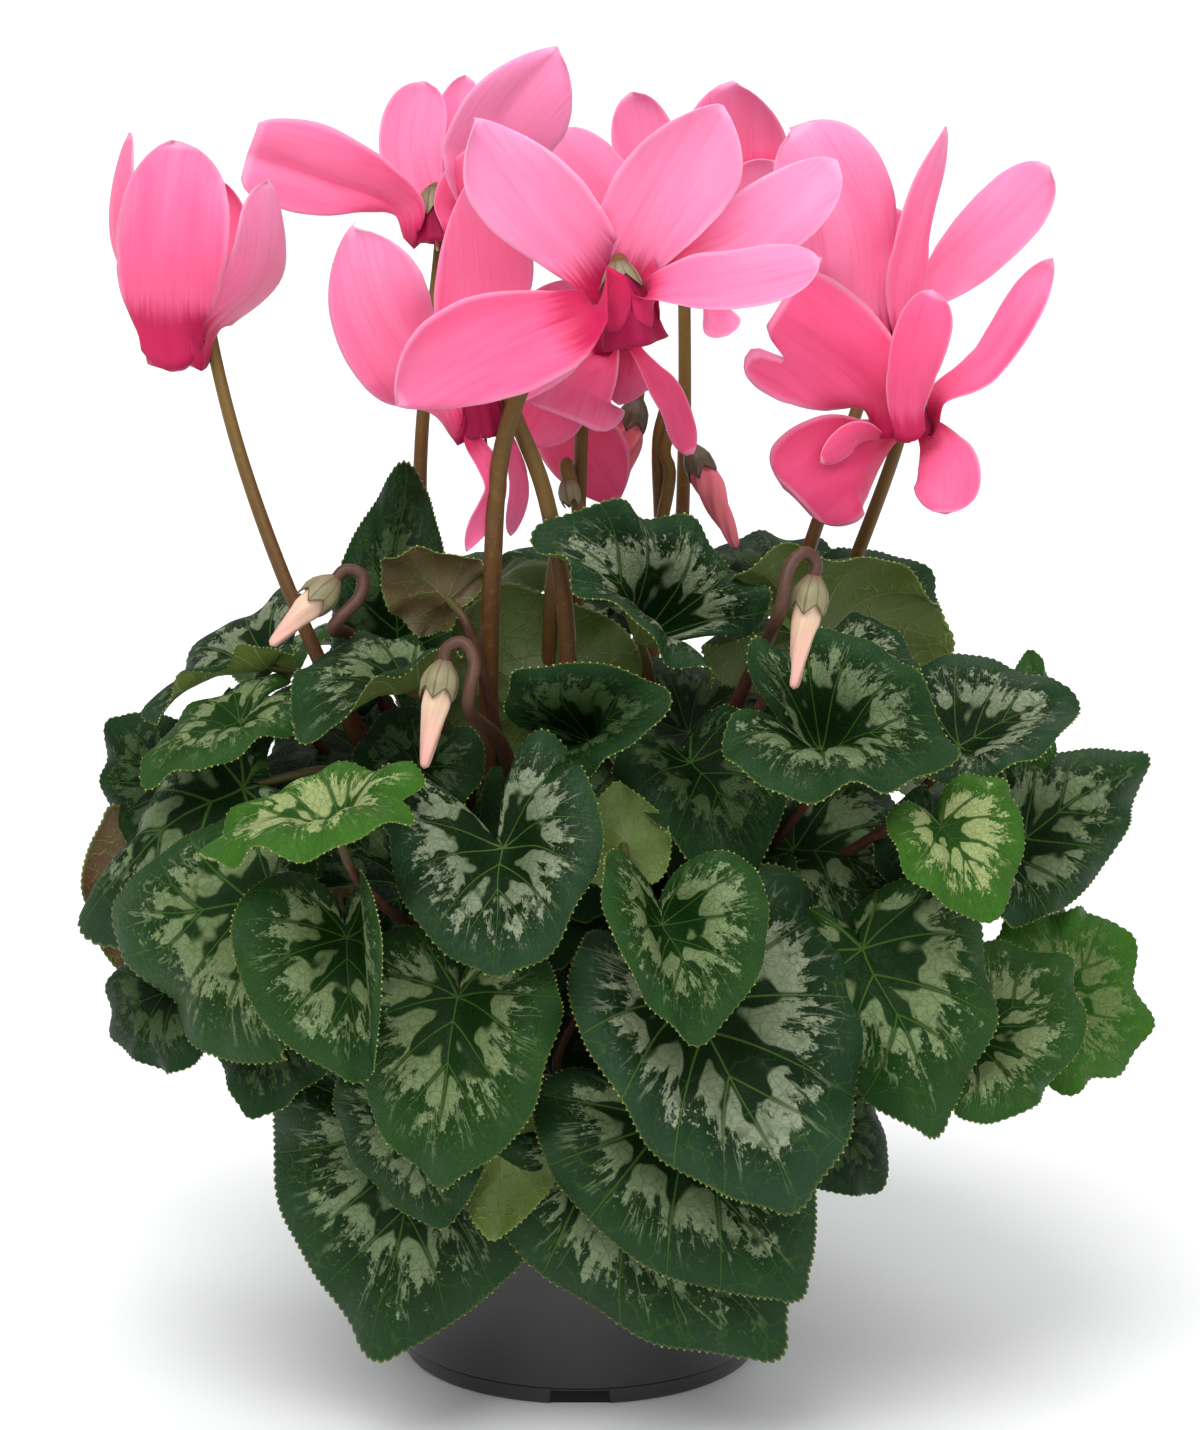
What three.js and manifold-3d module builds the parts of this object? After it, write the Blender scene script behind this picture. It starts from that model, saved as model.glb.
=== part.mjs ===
// A florist's cyclamen in a nursery pot: millimetres, +Z up, the front of the plant toward -Y,
// the pot standing on z = 0 with its axis on the Z axis.
import * as THREE from 'three';
import Module from 'manifold-3d';

const wasm = await Module();
wasm.setup();

// Pot
const potFootRadius = 52;
const potFootHeight = 5.5;
const potRimRadius = 71;
const potHeight = 115;
const potWall = 2;
const potRimBand = 12;
const potSides = 24;
const drainHoleCount = 6;
const drainHoleRadius = 4;
const drainHoleCircle = 39;
const notchCount = 3;
const notchWidth = 19;
const notchHeight = 4.5;

// Soil and tuber
const soilTop = 101;
const soilBottom = 4.8;
const fitGap = 0.3;
const simplifyTolerance = 0.05;
const tuberRadius = 37;
const tuberTop = 108;
const tuberBottom = 90;
const stemFoot = 99;
const stemMouth = 111;

// Leaves
const bladeThickness = 0.9;
const petioleSides = 4;
const petioleRadius = 1.7;
const petioleTipRadius = 1.25;
const toothDepth = 0.035;

// Flowers and buds
const petalThickness = 0.85;
const throatRadius = 5.6;
const stalkRadius = 1.9;
const stalkTopRadius = 1.4;
const petalHollow = 0.22;
const flowerCalyx = [[-2.6, 2.2], [0, 4]];
const budCalyx = [[-2, 2.4], [3, 4.2], [9, 4.4]];

const leafGreen = 0x2f5a34;
const petalPink = 0xee6f9c;
const stalkBrown = 0x7a5230;
const budCream = 0xf2c4a6;
const potCharcoal = 0x39383b;
const soilBrown = 0x3a2b20;
const tuberBrown = 0x5a4331;

const group = new THREE.Group();
group.name = 'potted_cyclamen';

function point(values) {
  return new THREE.Vector3(values[0], values[1], values[2]);
}

function mix(start, end, share) {
  return start + (end - start) * share;
}

function radians(degrees) {
  return degrees * Math.PI / 180;
}

// Azimuth 0 looks toward the front (-Y), 90 toward +X; elevation 90 is straight up.
function direction(azimuth, elevation) {
  const flat = Math.cos(radians(elevation));
  return new THREE.Vector3(
    Math.sin(radians(azimuth)) * flat,
    -Math.cos(radians(azimuth)) * flat,
    Math.sin(radians(elevation)),
  );
}

// Reads a curve given as [position, value] pairs.
function readCurve(pairs, position) {
  let before = pairs[0];
  for (const pair of pairs) {
    if (position <= pair[0]) {
      const span = pair[0] - before[0];
      return span > 0 ? mix(before[1], pair[1], (position - before[0]) / span) : pair[1];
    }
    before = pair;
  }
  return before[1];
}

function geometryFrom(vertices, triangles) {
  const geometry = new THREE.BufferGeometry();
  const numbers = vertices.flatMap((vertex) => [vertex.x, vertex.y, vertex.z]);
  geometry.setAttribute('position', new THREE.Float32BufferAttribute(numbers, 3));
  geometry.setIndex(triangles);
  return geometry;
}

function solidFrom(geometry) {
  const welded = weld(geometry);
  return new wasm.Manifold(new wasm.Mesh({
    numProp: 3,
    vertProperties: Float32Array.from(welded.positions),
    triVerts: Uint32Array.from(welded.triangles),
  }));
}

// Joins equal corners and drops triangles that have lost their area.
function weld(geometry) {
  const source = geometry.getAttribute('position');
  const index = geometry.index ? geometry.index.array : [...Array(source.count).keys()];
  const known = new Map();
  const positions = [];
  const remap = [];
  for (let corner = 0; corner < source.count; corner += 1) {
    const place = [source.getX(corner), source.getY(corner), source.getZ(corner)];
    const key = place.map((value) => Math.round(value * 1e4)).join(',');
    if (!known.has(key)) {
      known.set(key, positions.length / 3);
      positions.push(...place);
    }
    remap.push(known.get(key));
  }
  const triangles = [];
  for (let start = 0; start < index.length; start += 3) {
    const [a, b, c] = [remap[index[start]], remap[index[start + 1]], remap[index[start + 2]]];
    if (a !== b && b !== c && c !== a) triangles.push(a, b, c);
  }
  return { positions, triangles };
}

function addNode(name, solid, colour, roughness) {
  const mesh = solid.asOriginal().simplify(simplifyTolerance).getMesh();
  const geometry = new THREE.BufferGeometry();
  const positions = [];
  for (let corner = 0; corner < mesh.vertProperties.length / mesh.numProp; corner += 1) {
    const start = corner * mesh.numProp;
    positions.push(...mesh.vertProperties.slice(start, start + 3));
  }
  geometry.setAttribute('position', new THREE.Float32BufferAttribute(positions, 3));
  geometry.setIndex([...mesh.triVerts]);
  geometry.computeVertexNormals();
  const material = new THREE.MeshStandardMaterial({ color: colour, roughness, metalness: 0 });
  material.name = name;
  const node = new THREE.Mesh(geometry, material);
  node.name = name;
  group.add(node);
}

// A closed tube through the given points; the frame is carried along so that it never twists.
function tubeSolid(path, radii, sides) {
  const vertices = [];
  const triangles = [];
  let side = new THREE.Vector3(1, 0, 0);
  path.forEach((place, ring) => {
    const next = path[Math.min(ring + 1, path.length - 1)];
    const last = path[Math.max(ring - 1, 0)];
    const tangent = next.clone().sub(last).normalize();
    if (Math.abs(side.dot(tangent)) > 0.95) side = new THREE.Vector3(0, 1, 0);
    side = side.clone().addScaledVector(tangent, -side.dot(tangent)).normalize();
    const across = tangent.clone().cross(side);
    for (let corner = 0; corner < sides; corner += 1) {
      const turn = 2 * Math.PI * corner / sides;
      vertices.push(place.clone()
        .addScaledVector(side, Math.cos(turn) * radii[ring])
        .addScaledVector(across, Math.sin(turn) * radii[ring]));
    }
  });
  for (let ring = 0; ring < path.length - 1; ring += 1) {
    for (let corner = 0; corner < sides; corner += 1) {
      const here = ring * sides + corner;
      const beside = ring * sides + (corner + 1) % sides;
      triangles.push(here, beside, beside + sides, here, beside + sides, here + sides);
    }
  }
  const lastRing = (path.length - 1) * sides;
  for (let corner = 1; corner < sides - 1; corner += 1) {
    triangles.push(0, corner + 1, corner);
    triangles.push(lastRing, lastRing + corner, lastRing + corner + 1);
  }
  return solidFrom(geometryFrom(vertices, triangles));
}

// A solid turned about the Z axis from a closed profile of [radius, height] corners.
function turnedSolid(profile, sides) {
  const corners = profile.map(([radius, height]) => new THREE.Vector2(radius, height));
  corners.push(corners[0].clone());
  const geometry = new THREE.LatheGeometry(corners, sides);
  geometry.rotateX(Math.PI / 2);
  return solidFrom(geometry);
}

// Pot: a tapered wall with a thicker rim band, a raised floor channel with drain holes, and
// a foot ring that is notched so that water can run out.
function makePot() {
  const wallAt = (height) => mix(potFootRadius + 1, potRimRadius - 3, height / potHeight);
  const bandFoot = potHeight - potRimBand;
  const channelHeight = 2.4;
  const floor = soilBottom - fitGap;
  const profile = [
    [0, 0], [30, 0], [31.5, channelHeight], [46, channelHeight], [46.5, 0], [potFootRadius - 1.5, 0],
    [potFootRadius, 1.2], [potFootRadius + 0.5, potFootHeight], [wallAt(potFootHeight), potFootHeight + 0.4],
    [wallAt(bandFoot), bandFoot], [potRimRadius - 0.4, bandFoot + 1], [potRimRadius, potHeight],
    [potRimRadius - 2.6, potHeight], [wallAt(bandFoot) - potWall, bandFoot - 2],
    [wallAt(floor) - potWall - 0.6, floor], [0, floor],
  ];
  let pot = turnedSolid(profile, potSides);
  for (let hole = 0; hole < drainHoleCount; hole += 1) {
    const place = direction((hole + 0.5) * 360 / drainHoleCount, 0).multiplyScalar(drainHoleCircle);
    const foot = place.clone().setZ(-1);
    const head = place.clone().setZ(floor + 1);
    pot = pot.subtract(tubeSolid([foot, head], [drainHoleRadius, drainHoleRadius], 6));
  }
  for (let notch = 0; notch < notchCount; notch += 1) {
    const box = new THREE.BoxGeometry(notchWidth, 10, notchHeight * 2);
    box.translate(0, -potFootRadius - 1.5, 0);
    box.rotateZ(notch * 2 * Math.PI / notchCount);
    box.deleteAttribute('normal');
    box.deleteAttribute('uv');
    pot = pot.subtract(solidFrom(box));
  }
  return pot;
}

function soilRadius(height) {
  return mix(potFootRadius + 1, potRimRadius - 3, height / potHeight) - potWall - 1;
}

function makeSoil() {
  const plug = turnedSolid([
    [0, soilBottom], [soilRadius(soilBottom), soilBottom], [soilRadius(soilTop), soilTop - 2],
    [soilRadius(soilTop) - 6, soilTop], [0, soilTop],
  ], 24);
  const recess = turnedSolid([
    [0, tuberBottom - fitGap], [tuberRadius - 6, tuberBottom - fitGap],
    [tuberRadius + fitGap, tuberBottom + 5], [tuberRadius + fitGap, soilTop + 20], [0, soilTop + 20],
  ], 20);
  return plug.subtract(recess);
}

const stemHoles = [];

function makeTuber() {
  let tuber = turnedSolid([
    [0, tuberBottom], [tuberRadius - 6, tuberBottom], [tuberRadius, tuberBottom + 5],
    [tuberRadius - 0.4, tuberTop - 5], [tuberRadius - 4, tuberTop], [0, tuberTop],
  ], 20);
  stemHoles.forEach((hole) => {
    const foot = hole.foot.clone().setZ(stemFoot - fitGap);
    const head = hole.foot.clone().setZ(tuberTop + 5);
    const radius = hole.radius + fitGap * 1.3;
    tuber = tuber.subtract(tubeSolid([foot, head], [radius, radius], hole.sides));
  });
  return tuber;
}

// The stem leaves its hole straight up, then bends through the given control points.
function stemPath(root, controls, segments) {
  const foot = direction(root[1], 0).multiplyScalar(root[0]).setZ(stemFoot);
  const mouth = foot.clone().setZ(stemMouth);
  const curve = new THREE.CatmullRomCurve3([mouth, ...controls], false, 'centripetal');
  const path = [foot];
  for (let step = 0; step <= segments; step += 1) path.push(curve.getPoint(step / segments));
  return path;
}

// Leaf blade: a heart around the point where the petiole joins it. The outline is read as
// a radius for each angle away from the tip, in shares of the length from petiole to tip.
const heartOutline = [
  [0, 1.0], [10, 0.93], [25, 0.87], [45, 0.83], [70, 0.82], [95, 0.82], [120, 0.82],
  [140, 0.79], [155, 0.68], [168, 0.42], [180, 0.1],
];

function leafFrame(blade) {
  const at = point(blade.at);
  const tip = point(blade.tip);
  const along = tip.clone().sub(at);
  const length = along.length();
  along.normalize();
  const face = direction(blade.face[0], blade.face[1]);
  face.addScaledVector(along, -face.dot(along)).normalize();
  const across = face.clone().cross(along);
  return { at, along, across, face, length };
}

function bladeSurface(blade, frame, angle, share) {
  const { wide = 1, back = 1, shear = 0, sides = [0, 0], droop = 0, lift = 0, wave = 0 } = blade;
  const radius = readCurve(heartOutline, Math.abs(angle)) * share;
  let forward = Math.cos(radians(angle)) * radius;
  let lateral = Math.sin(radians(angle)) * radius * wide;
  if (forward < 0) {
    lateral += shear * -forward;
    forward *= back;
  }
  const fold = radians(lateral < 0 ? sides[0] : sides[1]) * Math.min(1, Math.abs(lateral) / 0.25);
  let height = Math.abs(lateral) * Math.sin(fold);
  lateral *= Math.cos(fold);
  if (forward > 0) height -= droop * forward * forward;
  else height += lift * forward * forward;
  height += wave * share * share * Math.sin(radians(3 * angle));
  return frame.at.clone()
    .addScaledVector(frame.along, forward * frame.length)
    .addScaledVector(frame.across, lateral * frame.length)
    .addScaledVector(frame.face, height * frame.length);
}

function bladeSolid(blade) {
  const frame = leafFrame(blade);
  const rimCount = blade.rim ?? 24;
  const innerCount = rimCount / 2;
  const middle = [bladeSurface(blade, frame, 0, 0)];
  for (let step = 0; step < innerCount; step += 1) {
    middle.push(bladeSurface(blade, frame, step * 360 / innerCount - 180, 0.52));
  }
  for (let step = 0; step < rimCount; step += 1) {
    const tooth = step % 2 === 0 ? 1 : 1 - 2 * toothDepth;
    middle.push(bladeSurface(blade, frame, step * 360 / rimCount - 180, tooth));
  }
  const faces = [];
  for (let step = 0; step < innerCount; step += 1) {
    const inner = 1 + step;
    const nextInner = 1 + (step + 1) % innerCount;
    const rim = 1 + innerCount + step * 2;
    const nextRim = 1 + innerCount + (step * 2 + 2) % rimCount;
    faces.push([0, inner, nextInner]);
    faces.push([inner, rim, rim + 1]);
    faces.push([inner, rim + 1, nextInner]);
    faces.push([nextInner, rim + 1, nextRim]);
  }
  const rimLoop = [];
  for (let step = 0; step < rimCount; step += 1) rimLoop.push(1 + innerCount + step);
  return sheetSolid(middle, faces, rimLoop, bladeThickness);
}

// Thickens an open sheet: both faces carry the same triangles, the rim is closed by a wall.
function sheetSolid(middle, faces, rimLoop, thickness) {
  const normals = middle.map(() => new THREE.Vector3());
  for (const [a, b, c] of faces) {
    const first = middle[b].clone().sub(middle[a]);
    const second = middle[c].clone().sub(middle[a]);
    const normal = first.cross(second);
    for (const corner of [a, b, c]) normals[corner].add(normal);
  }
  normals.forEach((normal) => normal.normalize());
  const upper = middle.map((place, corner) => place.clone().addScaledVector(normals[corner], thickness / 2));
  const lower = middle.map((place, corner) => place.clone().addScaledVector(normals[corner], -thickness / 2));
  const count = middle.length;
  const triangles = [];
  for (const [a, b, c] of faces) {
    triangles.push(a, b, c);
    triangles.push(a + count, c + count, b + count);
  }
  rimLoop.forEach((here, step) => {
    const next = rimLoop[(step + 1) % rimLoop.length];
    triangles.push(next, here, here + count, next, here + count, next + count);
  });
  return solidFrom(geometryFrom([...upper, ...lower], triangles));
}

function petioleSolid(root, blade) {
  const frame = leafFrame(blade);
  const below = blade.under ?? [0.35, 0.25];
  const arrive = frame.at.clone()
    .addScaledVector(frame.face, -below[0] * frame.length)
    .addScaledVector(frame.along, -below[1] * frame.length);
  const end = frame.at.clone().addScaledVector(frame.face, -0.15);
  const controls = (blade.via ?? []).map(point);
  const segments = 3 + controls.length;
  const path = stemPath(root, [...controls, arrive, end], segments);
  const radii = path.map((place, ring) => mix(petioleRadius, petioleTipRadius, ring / (path.length - 1)));
  return tubeSolid(path, radii, petioleSides);
}

// Leaves, from the front low down, round the sides, to the top and the back. Each node stands
// on its own root spot of the tuber: [distance from the middle, azimuth].
const leafNodes = [
  // Front, low down, hanging over the rim of the pot.
  { name: 'leaf_hanging_left', root: [31, -18], blades: [
    { at: [-42, -86, 92], tip: [-57, -94, 31], face: [-8, 5], wide: 0.82, back: 0.6, sides: [0, -20],
      droop: 0.05, wave: 0.03, via: [[-29, -59, 126]], under: [0.1, 0.35] },
    { at: [-45, -103, 106], tip: [-36, -108, 73], face: [-15, 10], wide: 0.78, back: 0.7, rim: 20,
      via: [[-27, -62, 131]], under: [0.1, 0.4] },
  ] },
  { name: 'leaf_hanging_right', root: [31, 0], blades: [
    { at: [10, -92, 90], tip: [56, -97, 32], face: [5, 0], wide: 0.62, back: 0.5, wave: 0.03,
      via: [[2, -66, 124]], under: [0.1, 0.35] },
    { at: [22, -101, 101], tip: [61, -108, 51], face: [12, 8], wide: 0.62, back: 0.7, wave: 0.02,
      via: [[14, -68, 127]], under: [0.1, 0.35] },
  ] },
  { name: 'leaf_low_left', root: [24.5, -27], blades: [
    { at: [-32, -114, 138], tip: [-37, -124, 89], face: [-14, 12], wide: 0.72, back: 0.6, sides: [4, 4],
      via: [[-15, -52, 136]] },
    { at: [-20, -101, 96], tip: [-24, -107, 69], face: [170, -10], wide: 0.7, back: 0.7, rim: 20,
      via: [[-16, -66, 132]], under: [-0.1, 0.35] },
  ] },
  { name: 'leaf_low_right', root: [24.5, 9], blades: [
    { at: [30, -108, 134], tip: [59, -124, 80], face: [12, 20], wide: 0.76, back: 0.8, sides: [18, 0],
      via: [[16, -66, 142]] },
  ] },
  { name: 'leaf_right_low', root: [31, 36], blades: [
    { at: [74, -100, 149], tip: [95, -110, 98], face: [28, 15], wide: 0.68, back: 0.4 },
    { at: [66, -76, 96], tip: [83, -68, 70], face: [35, 5], wide: 0.7, rim: 20, via: [[40, -54, 127]],
      under: [0.1, 0.35] },
  ] },
  { name: 'leaf_right_edge', root: [31, 54], blades: [
    { at: [108, -84, 119], tip: [134, -66, 137], face: [30, 30], wide: 0.85, via: [[52, -42, 130]] },
    { at: [134, -44, 118], tip: [151, -30, 141], face: [20, 20], wide: 1, via: [[60, -34, 131]] },
  ] },
  // Front, half way up.
  { name: 'leaf_front_heart', root: [24.5, -9], blades: [
    { at: [-20, -114, 180], tip: [-22, -136, 148], face: [-8, 30], wide: 0.95, back: 1.25, shear: -0.6,
      sides: [12, 18], droop: 0.1 },
  ] },
  { name: 'leaf_front_cupped', root: [31, 18], blades: [
    { at: [22, -124, 163], tip: [32, -137, 133], face: [12, 25], wide: 1.02, back: 0.9, sides: [45, 20],
      droop: 0.05 },
    { at: [12, -101, 178], tip: [10, -99, 195], face: [180, 0], wide: 0.9, rim: 16 },
  ] },
  { name: 'leaf_left_cupped', root: [31, -36], blades: [
    { at: [-62, -114, 157], tip: [-59, -122, 117], face: [5, 15], wide: 0.9, back: 0.7, sides: [5, 75],
      via: [[-38, -64, 138]] },
  ] },
  { name: 'leaf_left_low', root: [31, -54], blades: [
    { at: [-83, -100, 162], tip: [-128, -66, 150], face: [-35, 5], wide: 0.9, back: 0.4, sides: [-35, 5],
      via: [[-58, -58, 146]] },
    { at: [-80, -95, 128], tip: [-89, -101, 102], face: [-25, 15], wide: 0.85, rim: 20 },
  ] },
  { name: 'leaf_left_young', root: [24.5, -45], blades: [
    { at: [-67, -124, 194], tip: [-101, -114, 176], face: [0, 68], wide: 0.8, back: 0.85, sides: [25, 5],
      under: [0.35, 0] },
  ] },
  { name: 'leaf_left_broad', root: [24.5, -63], blades: [
    { at: [-91, -63, 185], tip: [-140, -44, 137], face: [-40, 35], wide: 0.62, back: 0.2, sides: [-15, -40],
      droop: 0.08 },
  ] },
  { name: 'leaf_left_edge', root: [31, -72], blades: [
    { at: [-122, -24, 140], tip: [-133, -20, 168], face: [180, -10], wide: 0.75, rim: 20,
      via: [[-60, -20, 128]], under: [-0.1, 0.35] },
    { at: [-117, -20, 173], tip: [-134, -4, 189], face: [-40, 30], wide: 0.8, rim: 20 },
    { at: [-111, -72, 130], tip: [-131, -57, 112], face: [-35, 20], wide: 0.9, back: 0.6, rim: 20 },
  ] },
  { name: 'leaf_left_upper', root: [31, -90], blades: [
    { at: [-87, -38, 213], tip: [-122, -24, 193], face: [-30, 60], wide: 0.75, back: 0.5, sides: [0, 65] },
    { at: [-93, -56, 201], tip: [-119, -70, 188], face: [-10, 65], wide: 0.75, sides: [-15, 15], rim: 20,
      via: [[-60, -20, 168]], under: [0.15, 0.35] },
  ] },
  { name: 'leaf_right_young', root: [24.5, 45], blades: [
    { at: [97, -104, 183], tip: [110, -114, 160], face: [25, 25], wide: 0.95, back: 0.6, sides: [20, 10] },
    { at: [93, -72, 171], tip: [112, -76, 152], face: [20, 50], wide: 0.8, back: 0.7, rim: 20 },
  ] },
  { name: 'leaf_right_outer', root: [24.5, 81], blades: [
    { at: [120, -42, 162], tip: [159, -14, 179], face: [25, 35], wide: 0.55, back: 0.6 },
    { at: [126, -26, 193], tip: [127, -18, 213], face: [20, 15], wide: 0.5, rim: 16 },
  ] },
  { name: 'leaf_right_upper', root: [24.5, 63], blades: [
    { at: [105, -66, 197], tip: [138, -54, 208], face: [15, 48], wide: 0.9, back: 0.8, sides: [40, 0] },
  ] },
  // Crown of the mound.
  { name: 'leaf_right_wavy', root: [17.5, 60], blades: [
    { at: [64, -98, 203], tip: [101, -106, 198], face: [5, 50], wide: 1.05, back: 0.9, lift: 0.6,
      sides: [20, 35], wave: 0.05, under: [0.35, 0] },
    { at: [72, -66, 221], tip: [92, -74, 211], face: [15, 45], wide: 0.9, back: 0.5, rim: 16 },
  ] },
  { name: 'leaf_middle_tall', root: [24.5, 27], blades: [
    { at: [30, -76, 195], tip: [46, -99, 168], face: [25, 25], wide: 0.8, back: 0.4, sides: [10, 15] },
    { at: [46, -80, 162], tip: [34, -84, 146], face: [0, 50], wide: 0.8, rim: 16 },
  ] },
  { name: 'leaf_middle_cupped', root: [17.5, 0], blades: [
    { at: [3, -86, 203], tip: [30, -94, 214], face: [0, 35], wide: 1, back: 0.8, sides: [40, 60] },
  ] },
  { name: 'leaf_crown_wavy', root: [9.5, 60], blades: [
    { at: [17, -44, 222], tip: [-15, -40, 249], face: [0, 45], wide: 0.9, back: 0.8, lift: 0.3,
      sides: [50, 30], wave: 0.04 },
  ] },
  { name: 'leaf_upper_folded', root: [17.5, -60], blades: [
    { at: [-47, -66, 213], tip: [-76, -88, 202], face: [-5, 60], wide: 0.9, back: 0.6, sides: [-5, 60] },
    { at: [-44, -62, 190], tip: [-54, -72, 170], face: [-10, 45], wide: 0.9, rim: 16 },
  ] },
  { name: 'leaf_crown_tall', root: [17.5, -120], blades: [
    { at: [-52, -18, 213], tip: [-48, -4, 263], face: [-12, 20], wide: 0.45, back: 0.6, sides: [20, 20] },
  ] },
  { name: 'leaf_crown_turned', root: [9.5, -60], blades: [
    { at: [-36, -44, 233], tip: [-54, -50, 245], face: [170, 10], wide: 0.8, back: 0.4, rim: 16 },
    { at: [-14, -12, 197], tip: [-22, -4, 230], face: [180, 10], wide: 1.2, rim: 16 },
  ] },
  { name: 'leaf_right_turned', root: [17.5, 90], blades: [
    { at: [64, -46, 225], tip: [105, -36, 218], face: [175, 35], wide: 0.9 },
    { at: [77, -8, 219], tip: [101, 6, 230], face: [10, 40], wide: 0.9, rim: 16 },
  ] },
  // Back of the plant.
  { name: 'leaf_back_right', root: [31, 108], blades: [
    { at: [113, 20, 150], tip: [143, 25, 115], face: [100, 35], wide: 0.9, rim: 20 },
    { at: [84, 71, 168], tip: [109, 91, 130], face: [130, 35], wide: 0.9, rim: 20 },
  ] },
  { name: 'leaf_back_low', root: [31, 162], blades: [
    { at: [36, 99, 150], tip: [46, 127, 108], face: [160, 30], wide: 0.9, rim: 20 },
    { at: [8, 92, 108], tip: [10, 104, 60], face: [175, 10], wide: 0.9, rim: 20, via: [[6, 64, 129]],
      under: [0.1, 0.35] },
  ] },
  { name: 'leaf_back_middle', root: [24.5, -171], blades: [
    { at: [-18, 103, 166], tip: [-24, 134, 124], face: [190, 35], wide: 0.9, rim: 20 },
    { at: [-28, 60, 216], tip: [-42, 91, 198], face: [205, 55], wide: 0.9, rim: 20 },
  ] },
  { name: 'leaf_back_left', root: [31, -126], blades: [
    { at: [-63, 90, 146], tip: [-80, 115, 104], face: [215, 35], wide: 0.9, rim: 20 },
    { at: [-101, 47, 166], tip: [-131, 61, 130], face: [245, 35], wide: 0.9, rim: 20 },
    { at: [-70, 25, 206], tip: [-102, 37, 190], face: [250, 55], wide: 0.9, rim: 16 },
  ] },
  { name: 'leaf_back_crown', root: [17.5, 150], blades: [
    { at: [56, 38, 218], tip: [68, 70, 227], face: [30, 70], wide: 0.9, back: 0.6, rim: 16 },
    { at: [8, 32, 216], tip: [4, 54, 228], face: [0, 60], wide: 0.9, rim: 16 },
  ] },
];

// Flowers: the stalk hooks over to the calyx, the tube hangs from it with its mouth downward,
// and the five petals fold back at the mouth. A petal is given by the azimuth of its root,
// the place of its tip, its width and the direction that its outer blade faces.
const petalOutline = [[0, 0.24], [0.2, 0.3], [0.46, 0.84], [0.72, 0.98], [1, 0.16]];

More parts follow.
